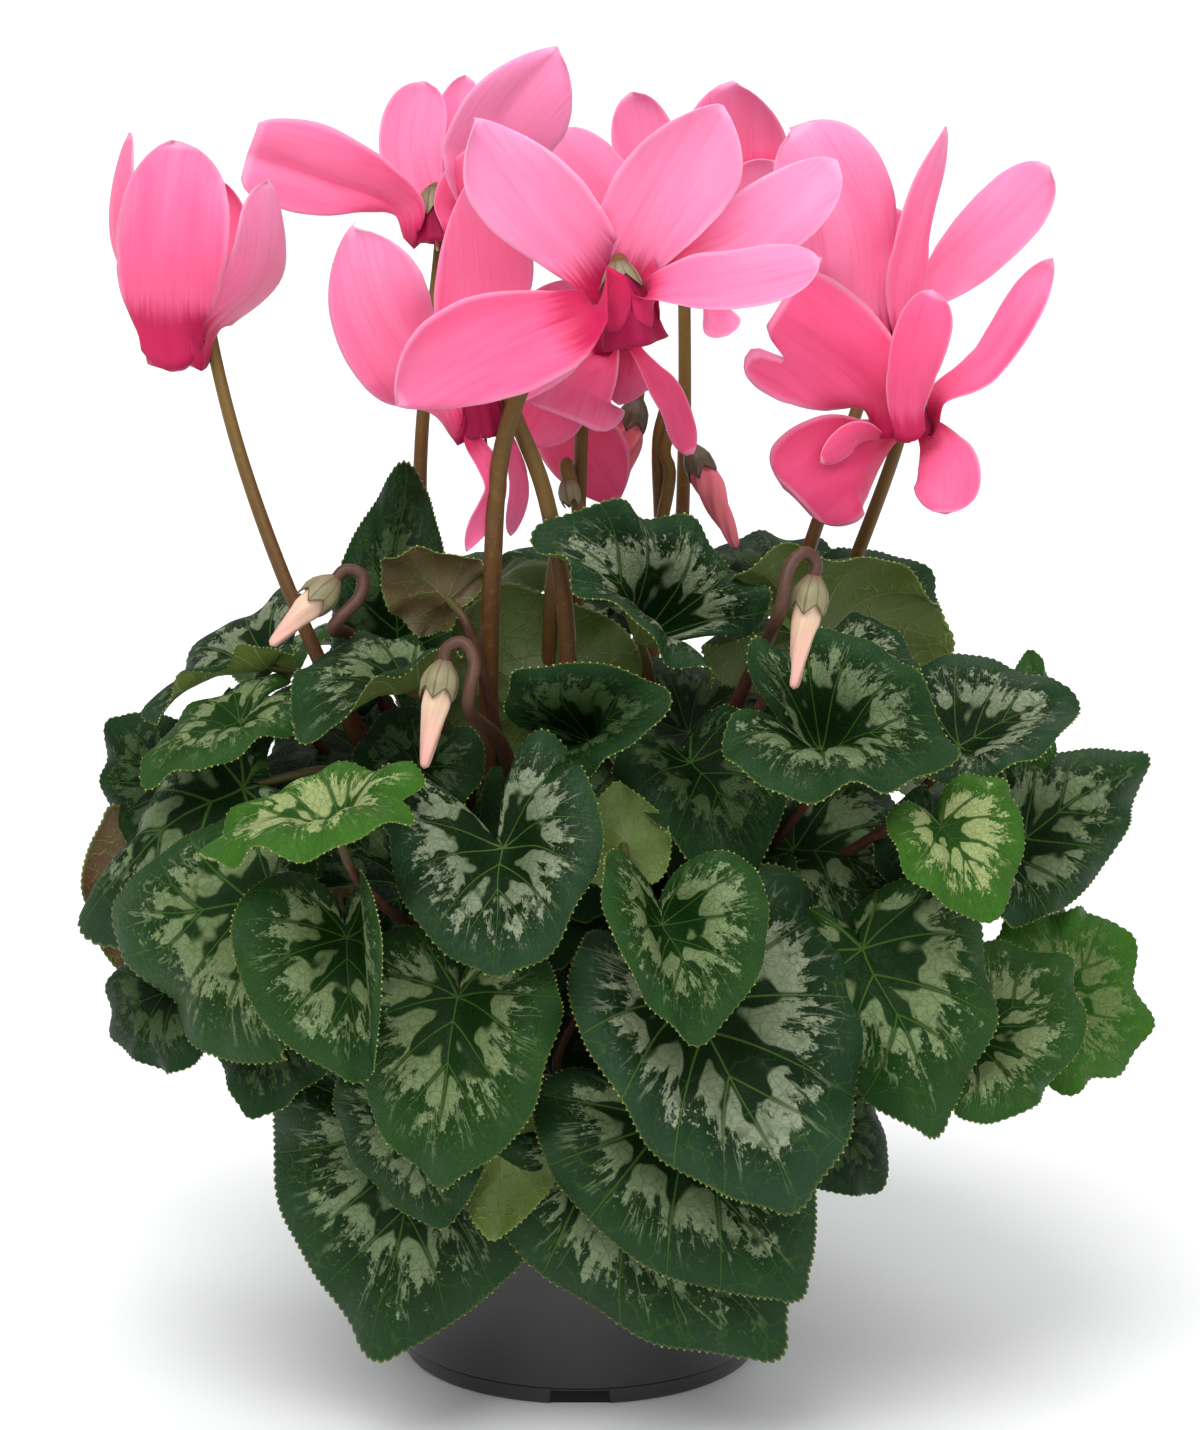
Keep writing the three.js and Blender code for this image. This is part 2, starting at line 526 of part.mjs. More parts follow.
const flowers = [
  { name: 'flower_left', root: [24.5, -81], via: [[-70, -46, 212], [-93, -30, 268]], hook: 108,
    crown: [-111, -20, 313], mouth: [-111, -20, 297], petals: [
      { root: 0, tip: [-108, -28, 358], width: 34, bow: [0, -7, 0] },
      { root: 58, tip: [-89, -20, 346], width: 26, bow: [5, 0, 0] },
      { root: -72, tip: [-123, -8, 355], width: 26, bow: [-6, 0, 0] },
      { root: 156, tip: [-104, 10, 341], width: 26, bow: [0, 6, 0] },
      { root: -144, tip: [-117, 8, 347], width: 26, bow: [0, 6, 0] },
    ] },
  { name: 'flower_upper_left', root: [17.5, -150], via: [[-45, 15, 232]], hook: -120,
    crown: [-42, 30, 332], mouth: [-41, 28, 318], petals: [
      { root: -78, tip: [-93, 18, 353], width: 27, face: [0, -15], bow: [0, 0, 4] },
      { root: -165, tip: [-45, 48, 366], width: 20, face: [0, 0], bow: [-4, 0, 0] },
      { root: 90, tip: [-7, 22, 377], width: 26, face: [10, 0], bow: [0, 0, 0] },
      { root: 148, tip: [-30, 55, 367], width: 18, face: [0, 0], bow: [0, 4, 0] },
      { root: 30, tip: [-14, 8, 330], width: 24, face: [0, 30], bow: [0, -3, 5] },
    ] },
  { name: 'flower_front_left', root: [9.5, 0], via: [[-14, -40, 207]], hook: 15,
    crown: [-28, -36, 292], mouth: [-26, -38, 278], petals: [
      { root: -90, tip: [-63, -46, 336], width: 30, face: [-10, 5], bow: [-4, 0, 0] },
      { root: 180, tip: [-32, -28, 342], width: 27, face: [0, 0], bow: [0, 2, 0] },
      { root: 105, tip: [2, -24, 321], width: 24, face: [0, 0], bow: [0, 0, 0] },
      { root: -30, tip: [-28, -44, 248], width: 14, face: [70, 0], hang: true, bow: [2, -2, 0] },
      { root: 60, tip: [-16, -34, 247], width: 12, face: [40, 0], hang: true, bow: [2, 0, 0] },
    ] },
  { name: 'flower_front', root: [17.5, -90], via: [[-20, -34, 196], [-24, -54, 244]], hook: -86,
    crown: [11, -46, 325], mouth: [14, -46, 309], petals: [
      { root: -130, tip: [-27, -46, 364], width: 27, face: [0, 10], bow: [0, 0, 0] },
      { root: 165, tip: [36, -48, 369], width: 30, face: [0, 0], bow: [0, 0, 0] },
      { root: 100, tip: [70, -40, 353], width: 21, face: [0, 20], bow: [0, 0, -3] },
      { root: 40, tip: [64, -62, 328], width: 20, face: [0, 45], bow: [0, -4, 3] },
      { root: -40, tip: [-48, -66, 292], width: 33, face: [0, 10], bow: [0, -4, 4] },
    ] },
  { name: 'flower_behind', root: [17.5, 120], via: [[29, 40, 224]], hook: -10,
    crown: [31, 58, 317], mouth: [32, 58, 303], petals: [
      { root: -90, tip: [-8, 60, 348], width: 18, face: [0, 0], bow: [0, 0, 0] },
      { root: -155, tip: [14, 66, 360], width: 18, face: [0, 0], bow: [0, 0, 0] },
      { root: 160, tip: [42, 54, 364], width: 24, face: [0, 0], bow: [0, 0, 0] },
      { root: 100, tip: [56, 58, 342], width: 20, face: [0, 0], bow: [0, 0, 0] },
      { root: 48, tip: [43, 50, 290], width: 14, hang: true, bow: [0, 0, 0] },
    ] },
  { name: 'flower_middle_low', root: [0, 0], via: [[-1, 0, 218]], hook: -122,
    crown: [7, 2, 310], mouth: [9, 2, 296], petals: [
      { root: -75, tip: [-16, 0, 271], width: 16, face: [0, 0], hang: true, bow: [0, 0, 0] },
      { root: -10, tip: [-3, -8, 274], width: 22, face: [0, 0], hang: true, bow: [0, -3, 0] },
      { root: 65, tip: [31, -2, 267], width: 16, face: [50, 0], hang: true, bow: [3, 0, 0] },
      { root: 125, tip: [14, 12, 272], width: 18, face: [20, 0], hang: true, bow: [0, 2, 0] },
      { root: -170, tip: [12, 16, 249], width: 28, face: [0, 0], hang: true, bow: [0, 4, 0] },
    ] },
  { name: 'flower_upper_right', root: [24.5, 99], via: [[65, 10, 235]], hook: -150,
    crown: [87, 22, 307], mouth: [89, 22, 293], petals: [
      { root: -84, tip: [59, 16, 356], width: 32, face: [10, 0], bow: [0, 0, 0] },
      { root: 178, tip: [94, 44, 335], width: 22, bow: [0, 4, 0] },
      { root: 45, tip: [103, 20, 355], width: 18, face: [65, 0], bow: [0, 0, 0] },
      { root: 110, tip: [134, 18, 344], width: 20, face: [-10, 15], bow: [0, 0, 0] },
      { root: -20, tip: [87, 12, 280], width: 12, hang: true, bow: [0, 0, 0] },
    ] },
  { name: 'flower_right', root: [31, 72], via: [[75, -14, 231]], hook: 180,
    crown: [90, -32, 290], mouth: [91, -32, 278], petals: [
      { root: -75, tip: [45, -36, 304], width: 26, face: [0, 10], bow: [0, 0, 0] },
      { root: 0, tip: [93, -44, 317], width: 18, face: [0, 0], bow: [0, 0, 0] },
      { root: 75, tip: [129, -30, 323], width: 15, face: [-20, 10], bow: [0, 0, -4] },
      { root: -138, tip: [54, -40, 261], width: 30, face: [0, 0], hang: true, bow: [0, -3, 0] },
      { root: 138, tip: [99, -44, 258], width: 18, face: [0, 10], hang: true, bow: [0, -3, 0] },
    ] },
];

// A stalk whose flower has dropped stands between the others; buds hang from hooked stalks.
const bareStalks = [
  { name: 'stalk_bare', root: [9.5, -120], via: [[-6, -6, 241]], hook: -100,
    crown: [-3, -8, 257], tip: [-2, -10, 251] },
];

const buds = [
  { name: 'bud_left', root: [24.5, -99], via: [[-62, -30, 217]], hook: 100, crown: [-68, -58, 240],
    tip: [-84, -66, 225] },
  { name: 'bud_front_left', root: [17.5, -30], via: [[-20, -52, 190]], hook: 80, crown: [-36, -101, 226],
    tip: [-41, -109, 198] },
  { name: 'bud_front_right', root: [17.5, 30], via: [[46, -54, 212]], hook: -60, crown: [62, -96, 248],
    tip: [57, -102, 218] },
  { name: 'bud_middle', root: [9.5, 180], via: [[11, 10, 230]], hook: -90, crown: [33, 20, 262],
    tip: [45, 14, 236] },
  { name: 'bud_behind', root: [9.5, 120], via: [[23, 20, 227]], hook: 90, crown: [16, 24, 275],
    tip: [9, 22, 246] },
];

function across(axis, azimuth) {
  const side = direction(azimuth, 0);
  return side.addScaledVector(axis, -side.dot(axis)).normalize();
}

// The stem up to the hook, then the hook itself and the calyx, whose flat end faces the flower.
function stalkSolid(plan, axis, calyx) {
  const crown = point(plan.crown);
  const side = across(axis, plan.hook);
  const beside = crown.clone().addScaledVector(side, 8.4).addScaledVector(axis, 7);
  const shoulder = crown.clone().addScaledVector(side, 7.8).addScaledVector(axis, -4);
  const bend = crown.clone().addScaledVector(side, 4).addScaledVector(axis, -8.2);
  const top = crown.clone().addScaledVector(axis, -6);
  const path = stemPath(plan.root, [...plan.via.map(point), beside, shoulder], 5);
  path.push(bend, top);
  const radii = path.map((place, ring) => mix(stalkRadius, stalkTopRadius, ring / (path.length - 1)));
  for (const [reach, radius] of calyx) {
    path.push(crown.clone().addScaledVector(axis, reach));
    radii.push(radius);
  }
  stemHoles.push({ foot: path[0].clone(), radius: stalkRadius, sides: 5 });
  return tubeSolid(path, radii, 5);
}

function petalFrames(flower, petal, stations) {
  const mouth = point(flower.mouth);
  const axis = mouth.clone().sub(point(flower.crown)).normalize();
  const radial = across(axis, petal.root);
  const sideways = axis.clone().cross(radial).normalize();
  const tip = point(petal.tip);
  const guide = [
    mouth.clone().addScaledVector(radial, throatRadius - 2).addScaledVector(axis, -2.5),
    mouth.clone().addScaledVector(radial, throatRadius + 1).addScaledVector(axis, 0.8),
  ];
  if (!petal.hang) {
    guide.push(mouth.clone().addScaledVector(radial, throatRadius + 2.8).addScaledVector(axis, -9));
  }
  const last = guide[guide.length - 1];
  guide.push(last.clone().lerp(tip, 0.5).add(point(petal.bow)), tip);
  const curve = new THREE.CatmullRomCurve3(guide, false, 'centripetal');
  return stations.map((share) => {
    const place = curve.getPointAt(share);
    const tangent = curve.getTangentAt(share);
    const lateral = sideways.clone().addScaledVector(tangent, -sideways.dot(tangent)).normalize();
    if (petal.face) {
      const wanted = tangent.clone().cross(direction(petal.face[0], petal.face[1])).normalize();
      if (wanted.dot(lateral) < 0) wanted.negate();
      lateral.lerp(wanted, Math.min(1, share / 0.45)).normalize();
    }
    return { place, tangent, lateral, share };
  });
}

function petalSolid(flower, petal) {
  const frames = petalFrames(flower, petal, petalOutline.map(([share]) => share));
  const middle = [];
  frames.forEach((frame, station) => {
    const half = petal.width / 2 * petalOutline[station][1];
    const hollow = frame.tangent.clone().cross(frame.lateral).multiplyScalar(half * petalHollow);
    middle.push(frame.place.clone().addScaledVector(frame.lateral, -half));
    middle.push(frame.place.clone().add(hollow));
    middle.push(frame.place.clone().addScaledVector(frame.lateral, half));
  });
  const faces = [];
  for (let station = 0; station < frames.length - 1; station += 1) {
    for (let strip = 0; strip < 2; strip += 1) {
      const here = station * 3 + strip;
      faces.push([here, here + 1, here + 4], [here, here + 4, here + 3]);
    }
  }
  const count = frames.length;
  const rimLoop = [0, 1, 2];
  for (let station = 1; station < count; station += 1) rimLoop.push(station * 3 + 2);
  rimLoop.push((count - 1) * 3 + 1);
  for (let station = count - 1; station > 0; station -= 1) rimLoop.push(station * 3);
  return sheetSolid(middle, faces, rimLoop, petalThickness);
}

function corollaSolid(flower) {
  const mouth = point(flower.mouth);
  const crown = point(flower.crown);
  const axis = mouth.clone().sub(crown).normalize();
  const neck = crown.clone().addScaledVector(axis, fitGap);
  const middle = crown.clone().lerp(mouth, 0.35);
  let corolla = tubeSolid([neck, middle, mouth], [2.6, 4.9, throatRadius], 6);
  for (const petal of flower.petals) corolla = corolla.add(petalSolid(flower, petal));
  return corolla;
}

function budSolid(bud, axis) {
  const crown = point(bud.crown);
  const length = point(bud.tip).distanceTo(crown);
  const rings = [[9.3, 3.9], [0.45 * length + 4, 3.6], [0.85 * length, 1.9], [length, 0.7]];
  const path = rings.map(([reach]) => crown.clone().addScaledVector(axis, reach));
  return tubeSolid(path, rings.map(([, radius]) => radius), 6);
}

for (const node of leafNodes) {
  let leaf = null;
  for (const blade of node.blades) {
    const piece = bladeSolid(blade).add(petioleSolid(node.root, blade));
    leaf = leaf ? leaf.add(piece) : piece;
  }
  const foot = direction(node.root[1], 0).multiplyScalar(node.root[0]);
  stemHoles.push({ foot, radius: petioleRadius, sides: petioleSides });
  addNode(node.name, leaf, leafGreen, 0.5);
}

for (const flower of flowers) {
  const axis = point(flower.mouth).sub(point(flower.crown)).normalize();
  addNode(flower.name + '_stalk', stalkSolid(flower, axis, flowerCalyx), stalkBrown, 0.6);
  addNode(flower.name + '_petals', corollaSolid(flower), petalPink, 0.55);
}

for (const stalk of bareStalks) {
  const axis = point(stalk.tip).sub(point(stalk.crown)).normalize();
  addNode(stalk.name, stalkSolid(stalk, axis, flowerCalyx), stalkBrown, 0.6);
}

for (const bud of buds) {
  const axis = point(bud.tip).sub(point(bud.crown)).normalize();
  addNode(bud.name + '_stalk', stalkSolid(bud, axis, budCalyx), stalkBrown, 0.6);
  addNode(bud.name + '_petals', budSolid(bud, axis), budCream, 0.55);
}

addNode('pot', makePot(), potCharcoal, 0.55);
addNode('soil', makeSoil(), soilBrown, 0.95);
addNode('tuber', makeTuber(), tuberBrown, 0.9);

export default group;
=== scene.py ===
# Potted cyclamen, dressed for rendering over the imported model.
# Sizes in the tables are millimetres, the front of the plant looks toward -Y.
import bpy
import math
from functools import partial
import numpy as np
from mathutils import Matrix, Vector


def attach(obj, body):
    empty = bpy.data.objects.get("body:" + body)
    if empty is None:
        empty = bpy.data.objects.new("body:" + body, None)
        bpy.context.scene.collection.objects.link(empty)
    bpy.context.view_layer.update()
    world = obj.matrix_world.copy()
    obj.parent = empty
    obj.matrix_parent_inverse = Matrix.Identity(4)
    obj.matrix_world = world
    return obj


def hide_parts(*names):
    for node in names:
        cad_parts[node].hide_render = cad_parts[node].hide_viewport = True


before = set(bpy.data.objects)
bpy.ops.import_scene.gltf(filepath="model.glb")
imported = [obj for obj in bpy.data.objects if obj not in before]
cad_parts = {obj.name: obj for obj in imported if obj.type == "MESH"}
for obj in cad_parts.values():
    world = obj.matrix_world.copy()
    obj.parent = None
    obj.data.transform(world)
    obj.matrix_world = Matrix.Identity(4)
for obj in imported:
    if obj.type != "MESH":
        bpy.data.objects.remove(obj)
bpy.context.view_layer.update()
print("frame loaded")

mm = 0.001
bench = {}  # the material and the node tree that are being built


# Nodes, for materials and for Geometry Nodes
def feed(node, values):
    for key, value in values.items():
        socket = node.inputs[key]
        if isinstance(value, bpy.types.NodeSocket):
            bench["tree"].links.new(value, socket)
        else:
            socket.default_value = (*value, 1) if socket.type == "RGBA" else value


def addNode(kind, values=None, output=0, **settings):
    node = bench["tree"].nodes.new(kind)
    for key, value in settings.items():
        setattr(node, key, value)
    feed(node, values or {})
    return node if output is None else node.outputs[output]


def newMaterial(name):
    material = bpy.data.materials.new(name)
    material.use_nodes = True
    material.node_tree.nodes.clear()
    bench.update(material=material, tree=material.node_tree)


def closeMaterial(colour, roughness, others=None):
    values = {"Base Color": colour, "Roughness": roughness, **(others or {})}
    skin = addNode("ShaderNodeBsdfPrincipled", values)
    addNode("ShaderNodeOutputMaterial", {0: skin}, None)
    return bench["material"]


def calc(operation, *values, clamp=False):
    return addNode("ShaderNodeMath", dict(enumerate(values)), operation=operation, use_clamp=clamp)


add, sub, mul = partial(calc, "ADD"), partial(calc, "SUBTRACT"), partial(calc, "MULTIPLY")
mulAdd, most, flip = partial(calc, "MULTIPLY_ADD"), partial(calc, "MAXIMUM"), partial(calc, "SUBTRACT", 1.0)


# 0 below low, 1 above high, smooth between
def ease(value, low, high):
    return addNode("ShaderNodeMapRange", {"Value": value, "From Min": low, "From Max": high},
                   interpolation_type="SMOOTHSTEP")


def blend(share, first, second, kind="MIX"):
    return addNode("ShaderNodeMix", {0: share, 6: first, 7: second}, 2, data_type="RGBA", blend_type=kind)


def objectPlace():
    return addNode("ShaderNodeTexCoord", output="Object")


def attribute(name, output="Fac"):
    return addNode("ShaderNodeAttribute", output=output, attribute_name=name)


def noise(vector, scale, detail=2, rough=0.5, output=0):
    return addNode("ShaderNodeTexNoise", {"Vector": vector, "Scale": scale, "Detail": detail,
                                          "Roughness": rough}, output)


def cells(vector, scale):
    return addNode("ShaderNodeTexVoronoi", {"Vector": vector, "Scale": scale}, "Distance",
                   feature="DISTANCE_TO_EDGE")


def joinAxes(*values):
    return addNode("ShaderNodeCombineXYZ", dict(enumerate(values)))


def splitAxes(vector):
    return addNode("ShaderNodeSeparateXYZ", {0: vector}, None).outputs


def bump(height, distance, strength):
    values = {"Strength": strength, "Distance": distance, "Height": height}
    return {"Normal": addNode("ShaderNodeBump", values)}


def newTree(name, inputs):
    tree = bpy.data.node_groups.new(name, "GeometryNodeTree")
    tree.interface.new_socket("Geometry", in_out="INPUT", socket_type="NodeSocketGeometry")
    for label, kind, value in inputs:
        socket = tree.interface.new_socket(label, in_out="INPUT", socket_type="NodeSocket" + kind)
        if value is not None:
            socket.default_value = value
    tree.interface.new_socket("Geometry", in_out="OUTPUT", socket_type="NodeSocketGeometry")
    bench["tree"] = tree
    return tree, addNode("NodeGroupInput", output=None).outputs


def closeTree(made, material):
    made = addNode("GeometryNodeSetShadeSmooth", {"Geometry": made})
    made = addNode("GeometryNodeRealizeInstances", {"Geometry": made})
    made = addNode("GeometryNodeSetMaterial", {"Geometry": made, "Material": material})
    addNode("NodeGroupOutput", {"Geometry": made}, None)


# The object's mesh after its modifiers, which are then removed.
def keepResult(thing):
    bpy.context.view_layer.update()
    graph = bpy.context.evaluated_depsgraph_get()
    made = bpy.data.meshes.new_from_object(thing.evaluated_get(graph), depsgraph=graph)
    thing.modifiers.clear()
    thing.data = made


def runTree(thing, tree, values):
    modifier = thing.modifiers.new(tree.name, "NODES")
    modifier.node_group = tree
    known = {item.name: item.identifier for item in tree.interface.items_tree
             if item.item_type == "SOCKET" and item.in_out == "INPUT"}
    for label, value in values.items():
        modifier[known[label]] = value
    keepResult(thing)


def makeStemTree():
    tree, given = newTree("stemTubes", [("Sides", "Int", 10), ("Material", "Material", None)])
    path = addNode("GeometryNodeMeshToCurve", {"Mesh": given["Geometry"]})
    radius = addNode("GeometryNodeInputNamedAttribute", {"Name": "stemRadius"}, "Attribute",
                     data_type="FLOAT")
    ring = addNode("GeometryNodeCurvePrimitiveCircle", {"Radius": mm, "Resolution": given["Sides"]}, "Curve")
    tube = addNode("GeometryNodeCurveToMesh", {"Curve": path, "Profile Curve": ring, "Scale": radius,
                                               "Fill Caps": True})
    closeTree(tube, given["Material"])
    return tree


# Small rounded grains on the points of a mesh: margin glands of the leaves, crumbs of the soil.
def makeGrainTree():
    tree, given = newTree("grains", [
        ("Grain Radius", "Float", 0.4), ("Smallest", "Float", 0.7), ("Seed", "Int", 3),
        ("Flatness", "Float", 1.0), ("Material", "Material", None)])
    ball = addNode("GeometryNodeMeshIcoSphere", {"Radius": given["Grain Radius"], "Subdivisions": 1}, "Mesh")
    size = addNode("FunctionNodeRandomValue", {2: given["Smallest"], 3: 1.2, "Seed": given["Seed"]}, 1,
                   data_type="FLOAT")
    turn = addNode("FunctionNodeRandomValue", {"Max": (6.28, 6.28, 6.28), "Seed": given["Seed"]},
                   data_type="FLOAT_VECTOR")
    squash = joinAxes(size, size, mul(size, given["Flatness"]))
    grains = addNode("GeometryNodeInstanceOnPoints", {"Points": given["Geometry"], "Instance": ball,
                                                      "Scale": squash, "Rotation": turn})
    closeTree(grains, given["Material"])
    return tree


# Shapes
def direction(azimuth, elevation):
    flat = math.cos(math.radians(elevation))
    return np.array([math.sin(math.radians(azimuth)) * flat, -math.cos(math.radians(azimuth)) * flat,
                     math.sin(math.radians(elevation))])


def unit(vector):
    return vector / np.linalg.norm(vector)


def between(first, last, share):
    return first + (last - first) * share


# Reads a smooth curve through [position, value] pairs, without overshoot.
def smoothTable(pairs, count=200):
    x, y = np.array(pairs, float).T
    slope = np.diff(y) / np.diff(x)
    lean = np.zeros(len(x))
    lean[0], lean[-1] = slope[0], slope[-1]
    for k in range(1, len(x) - 1):
        if slope[k - 1] * slope[k] > 0:
            lean[k] = 2 * slope[k - 1] * slope[k] / (slope[k - 1] + slope[k])
    at = np.linspace(x[0], x[-1], count)
    k = np.clip(np.searchsorted(x, at, side="right") - 1, 0, len(x) - 2)
    step = x[k + 1] - x[k]
    t = (at - x[k]) / step
    value = ((1 + 2 * t) * (1 - t) ** 2 * y[k] + t * (1 - t) ** 2 * step * lean[k]
             + t * t * (3 - 2 * t) * y[k + 1] + t * t * (t - 1) * step * lean[k + 1])
    return at, value


# A centripetal spline through the control points, evenly spread in its own parameter.
def splineThrough(controls, count):
    points = [np.array(control, float) for control in controls]
    made = []
    for share in np.linspace(0, 1, count):
        reach = share * (len(points) - 1)
        k = min(int(reach), len(points) - 2)
        w = reach - k
        b, c = points[k], points[k + 1]
        a = points[k - 1] if k > 0 else 2 * b - c
        d = points[k + 2] if k + 2 < len(points) else 2 * c - b
        gap = [max(np.linalg.norm(q - p) ** 0.5, 1e-4) for p, q in ((a, b), (b, c), (c, d))]
        first = ((b - a) / gap[0] - (c - a) / (gap[0] + gap[1]) + (c - b) / gap[1]) * gap[1]
        second = ((c - b) / gap[1] - (d - b) / (gap[1] + gap[2]) + (d - c) / gap[2]) * gap[1]
        made.append(b + first * w + (-3 * b + 3 * c - 2 * first - second) * w ** 2
                    + (2 * b - 2 * c + first + second) * w ** 3)
    return np.array(made)


# The same path, resampled at given shares of its length.
def alongPath(path, shares):
    reach = np.concatenate([[0], np.cumsum(np.linalg.norm(np.diff(path, axis=0), axis=1))])
    reach /= reach[-1]
    return np.stack([np.interp(shares, reach, path[:, axis]) for axis in range(3)], axis=1)


def addObject(name, data):
    thing = bpy.data.objects.new(name, data)
    bpy.context.scene.collection.objects.link(thing)
    return thing


def newObject(name, points, faces=(), edges=(), smooth=True):
    mesh = bpy.data.meshes.new(name)
    mesh.from_pydata((np.asarray(points) * mm).tolist(), edges, faces)
    if smooth:
        mesh.shade_smooth()
    return addObject(name, mesh)


# Point attributes, repeated where there are fewer values than points.
def storeOnPoints(thing, **layers):
    for name, values in layers.items():
        values = np.asarray(values, np.float32)
        width = values.shape[1] if values.ndim == 2 else 1
        kinds = {1: ("FLOAT", "value"), 3: ("FLOAT_VECTOR", "vector"), 4: ("FLOAT_COLOR", "color")}
        kind, field = kinds[width]
        layer = thing.data.attributes.new(name, kind, "POINT")
        layer.data.foreach_set(field, np.resize(values, (len(thing.data.vertices), width)).ravel())


def joinInto(name, things):
    target = things[0]
    with bpy.context.temp_override(active_object=target, object=target, selected_objects=things,
                                   selected_editable_objects=things):
        if len(things) > 1:
            bpy.ops.object.join()
    target.name = name
    target.data.name = name
    return target


def finishPiece(thing, slot, *nodes):
    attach(thing, "root")
    if nodes:
        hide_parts(*nodes)


# Four corners for every cell between rows of points. A closed row joins its last point to its first.
def cellFaces(rows, columns, closed):
    faces = []
    for row in range(rows - 1):
        for column in range(columns if closed else columns - 1):
            here, beside = row * columns + column, row * columns + (column + 1) % columns
            faces.append((here, beside, beside + columns, here + columns))
    return faces


# The same, with a face over the first and the last row
def cappedFaces(rows, columns):
    last = (rows - 1) * columns
    ends = [tuple(reversed(range(columns))), tuple(range(last, last + columns))]
    return cellFaces(rows, columns, True) + ends


# One vector for each point of a grid, from three values, rows or columns
def gridOf(*values):
    return np.stack(np.broadcast_arrays(*values), axis=-1).reshape(-1, 3)


def sheetNormals(points, *groups):
    normals = np.zeros_like(points)
    for faces in groups:
        faces = np.array(faces)
        a, b, c = (points[faces[:, k]] for k in range(3))
        flat = np.cross(b - a, c - a)
        for k in range(faces.shape[1]):
            np.add.at(normals, faces[:, k], flat)
    return normals / np.maximum(np.linalg.norm(normals, axis=1), 1e-9)[:, None]


# Rows of points across a strip, turned into a thin closed shell.
def makeShell(name, grid, thick, closed=False):
    rows, columns = grid.shape[:2]
    points = grid.reshape(-1, 3)
    quads = cellFaces(rows, columns, closed)
    half = sheetNormals(points, quads) * (np.broadcast_to(thick, (rows, columns)).ravel() / 2)[:, None]
    count = len(points)
    faces = quads + [tuple(count + corner for corner in reversed(quad)) for quad in quads]
    if closed:
        loops = [[k for k in range(columns)], [(rows - 1) * columns + k for k in reversed(range(columns))]]
    else:
        loops = [[*range(columns), *((row + 1) * columns - 1 for row in range(1, rows)),
                  *((rows - 1) * columns + k for k in reversed(range(columns - 1))),
                  *(row * columns for row in reversed(range(1, rows - 1)))]]
    for loop in loops:
        for here, after in zip(loop, loop[1:] + loop[:1]):
            faces.append((after, here, here + count, after + count))
    return newObject(name, np.concatenate([points + half, points - half]), faces)


# A solid turned round the z axis from (radius, height) pairs.
def turnedMesh(name, profile, columns):
    turn = np.arange(columns) * 2 * np.pi / columns
    points, faces, rings = [], [], []
    for radius, height in profile:
        if radius < 1e-6:
            rings.append([len(points)] * columns)
            points.append((0, 0, height))
        else:
            rings.append([len(points) + k for k in range(columns)])
            points += [(radius * math.cos(a), radius * math.sin(a), height) for a in turn]
    for low, high in zip(rings, rings[1:]):
        for k in range(columns):
            after = (k + 1) % columns
            faces.append(tuple(dict.fromkeys([low[k], low[after], high[after], high[k]])))
    return newObject(name, points, faces)


# Stems: lists of (path, radii, shade); shade runs from 0 at the foot to 1 at the top.
def makeStems(name, stems, material, sides):
    points, edges, radii, shades = [], [], [], []
    for path, radius, shade in stems:
        first = len(points)
        points += list(path)
        edges += [(first + k, first + k + 1) for k in range(len(path) - 1)]
        radii += list(radius)
        shades += list(shade)
    thing = newObject(name, points, edges=edges, smooth=False)
    storeOnPoints(thing, stemRadius=radii, stemShade=shades)
    runTree(thing, stemTree, {"Sides": sides, "Material": material})
    return thing


# Camera, light and floor
cameraView = {"place": (0.0057, -1.4, 0.52), "aim": (0.0057, 0.0, 0.190), "lens": 126.4, "sensor": 36,
              "near": 0.05}
studio = {"sky": (0.94, 0.97, 1.0), "skyStrength": 0.30, "floor": (0.96, 0.96, 0.96),
          "floorLight": (0.98, 0.98, 0.98), "floorRoughness": 0.9, "floorHalf": 12000}
suns = [
    {"name": "keySun", "from": (-0.45, -0.9, 1.5), "power": 2.1, "spread": 40},
    {"name": "rightSun", "from": (0.6, -1.0, 1.3), "power": 0.95, "spread": 50},
    {"name": "frontSun", "from": (0.0, -1.3, 0.35), "power": 0.5, "spread": 70},
    {"name": "backSun", "from": (0.2, 1.0, 1.4), "power": 0.9, "spread": 50},
]


def lookAt(thing, place, aim):
    thing.location = place
    thing.rotation_euler = (Vector(aim) - Vector(place)).to_track_quat("-Z", "Y").to_euler()


def makeStudio():
    scene = bpy.context.scene
    camera = addObject("camera", bpy.data.cameras.new("camera"))
    camera.data.lens = cameraView["lens"]
    camera.data.sensor_width = cameraView["sensor"]
    camera.data.clip_start = cameraView["near"]
    lookAt(camera, cameraView["place"], cameraView["aim"])
    scene.camera = camera
    for sun in suns:
        light = bpy.data.lights.new(sun["name"], "SUN")
        light.energy = sun["power"]
        light.angle = math.radians(sun["spread"])
        lookAt(addObject(sun["name"], light), sun["from"], (0, 0, 0))
    world = bpy.data.worlds.new("sky")
    world.use_nodes = True
    feed(world.node_tree.nodes["Background"], {"Color": studio["sky"], "Strength": studio["skyStrength"]})
    scene.world = world
    scene.view_settings.view_transform = "Standard"
    half = studio["floorHalf"]
    floor = newObject("floor", [(-half, -half, 0), (half, -half, 0), (half, half, 0), (-half, half, 0)],
                      [(0, 1, 2, 3)], smooth=False)
    newMaterial("floorPaper")
    colour = blend(noise(objectPlace(), 3), studio["floor"], studio["floorLight"])
    floor.data.materials.append(closeMaterial(colour, studio["floorRoughness"]))


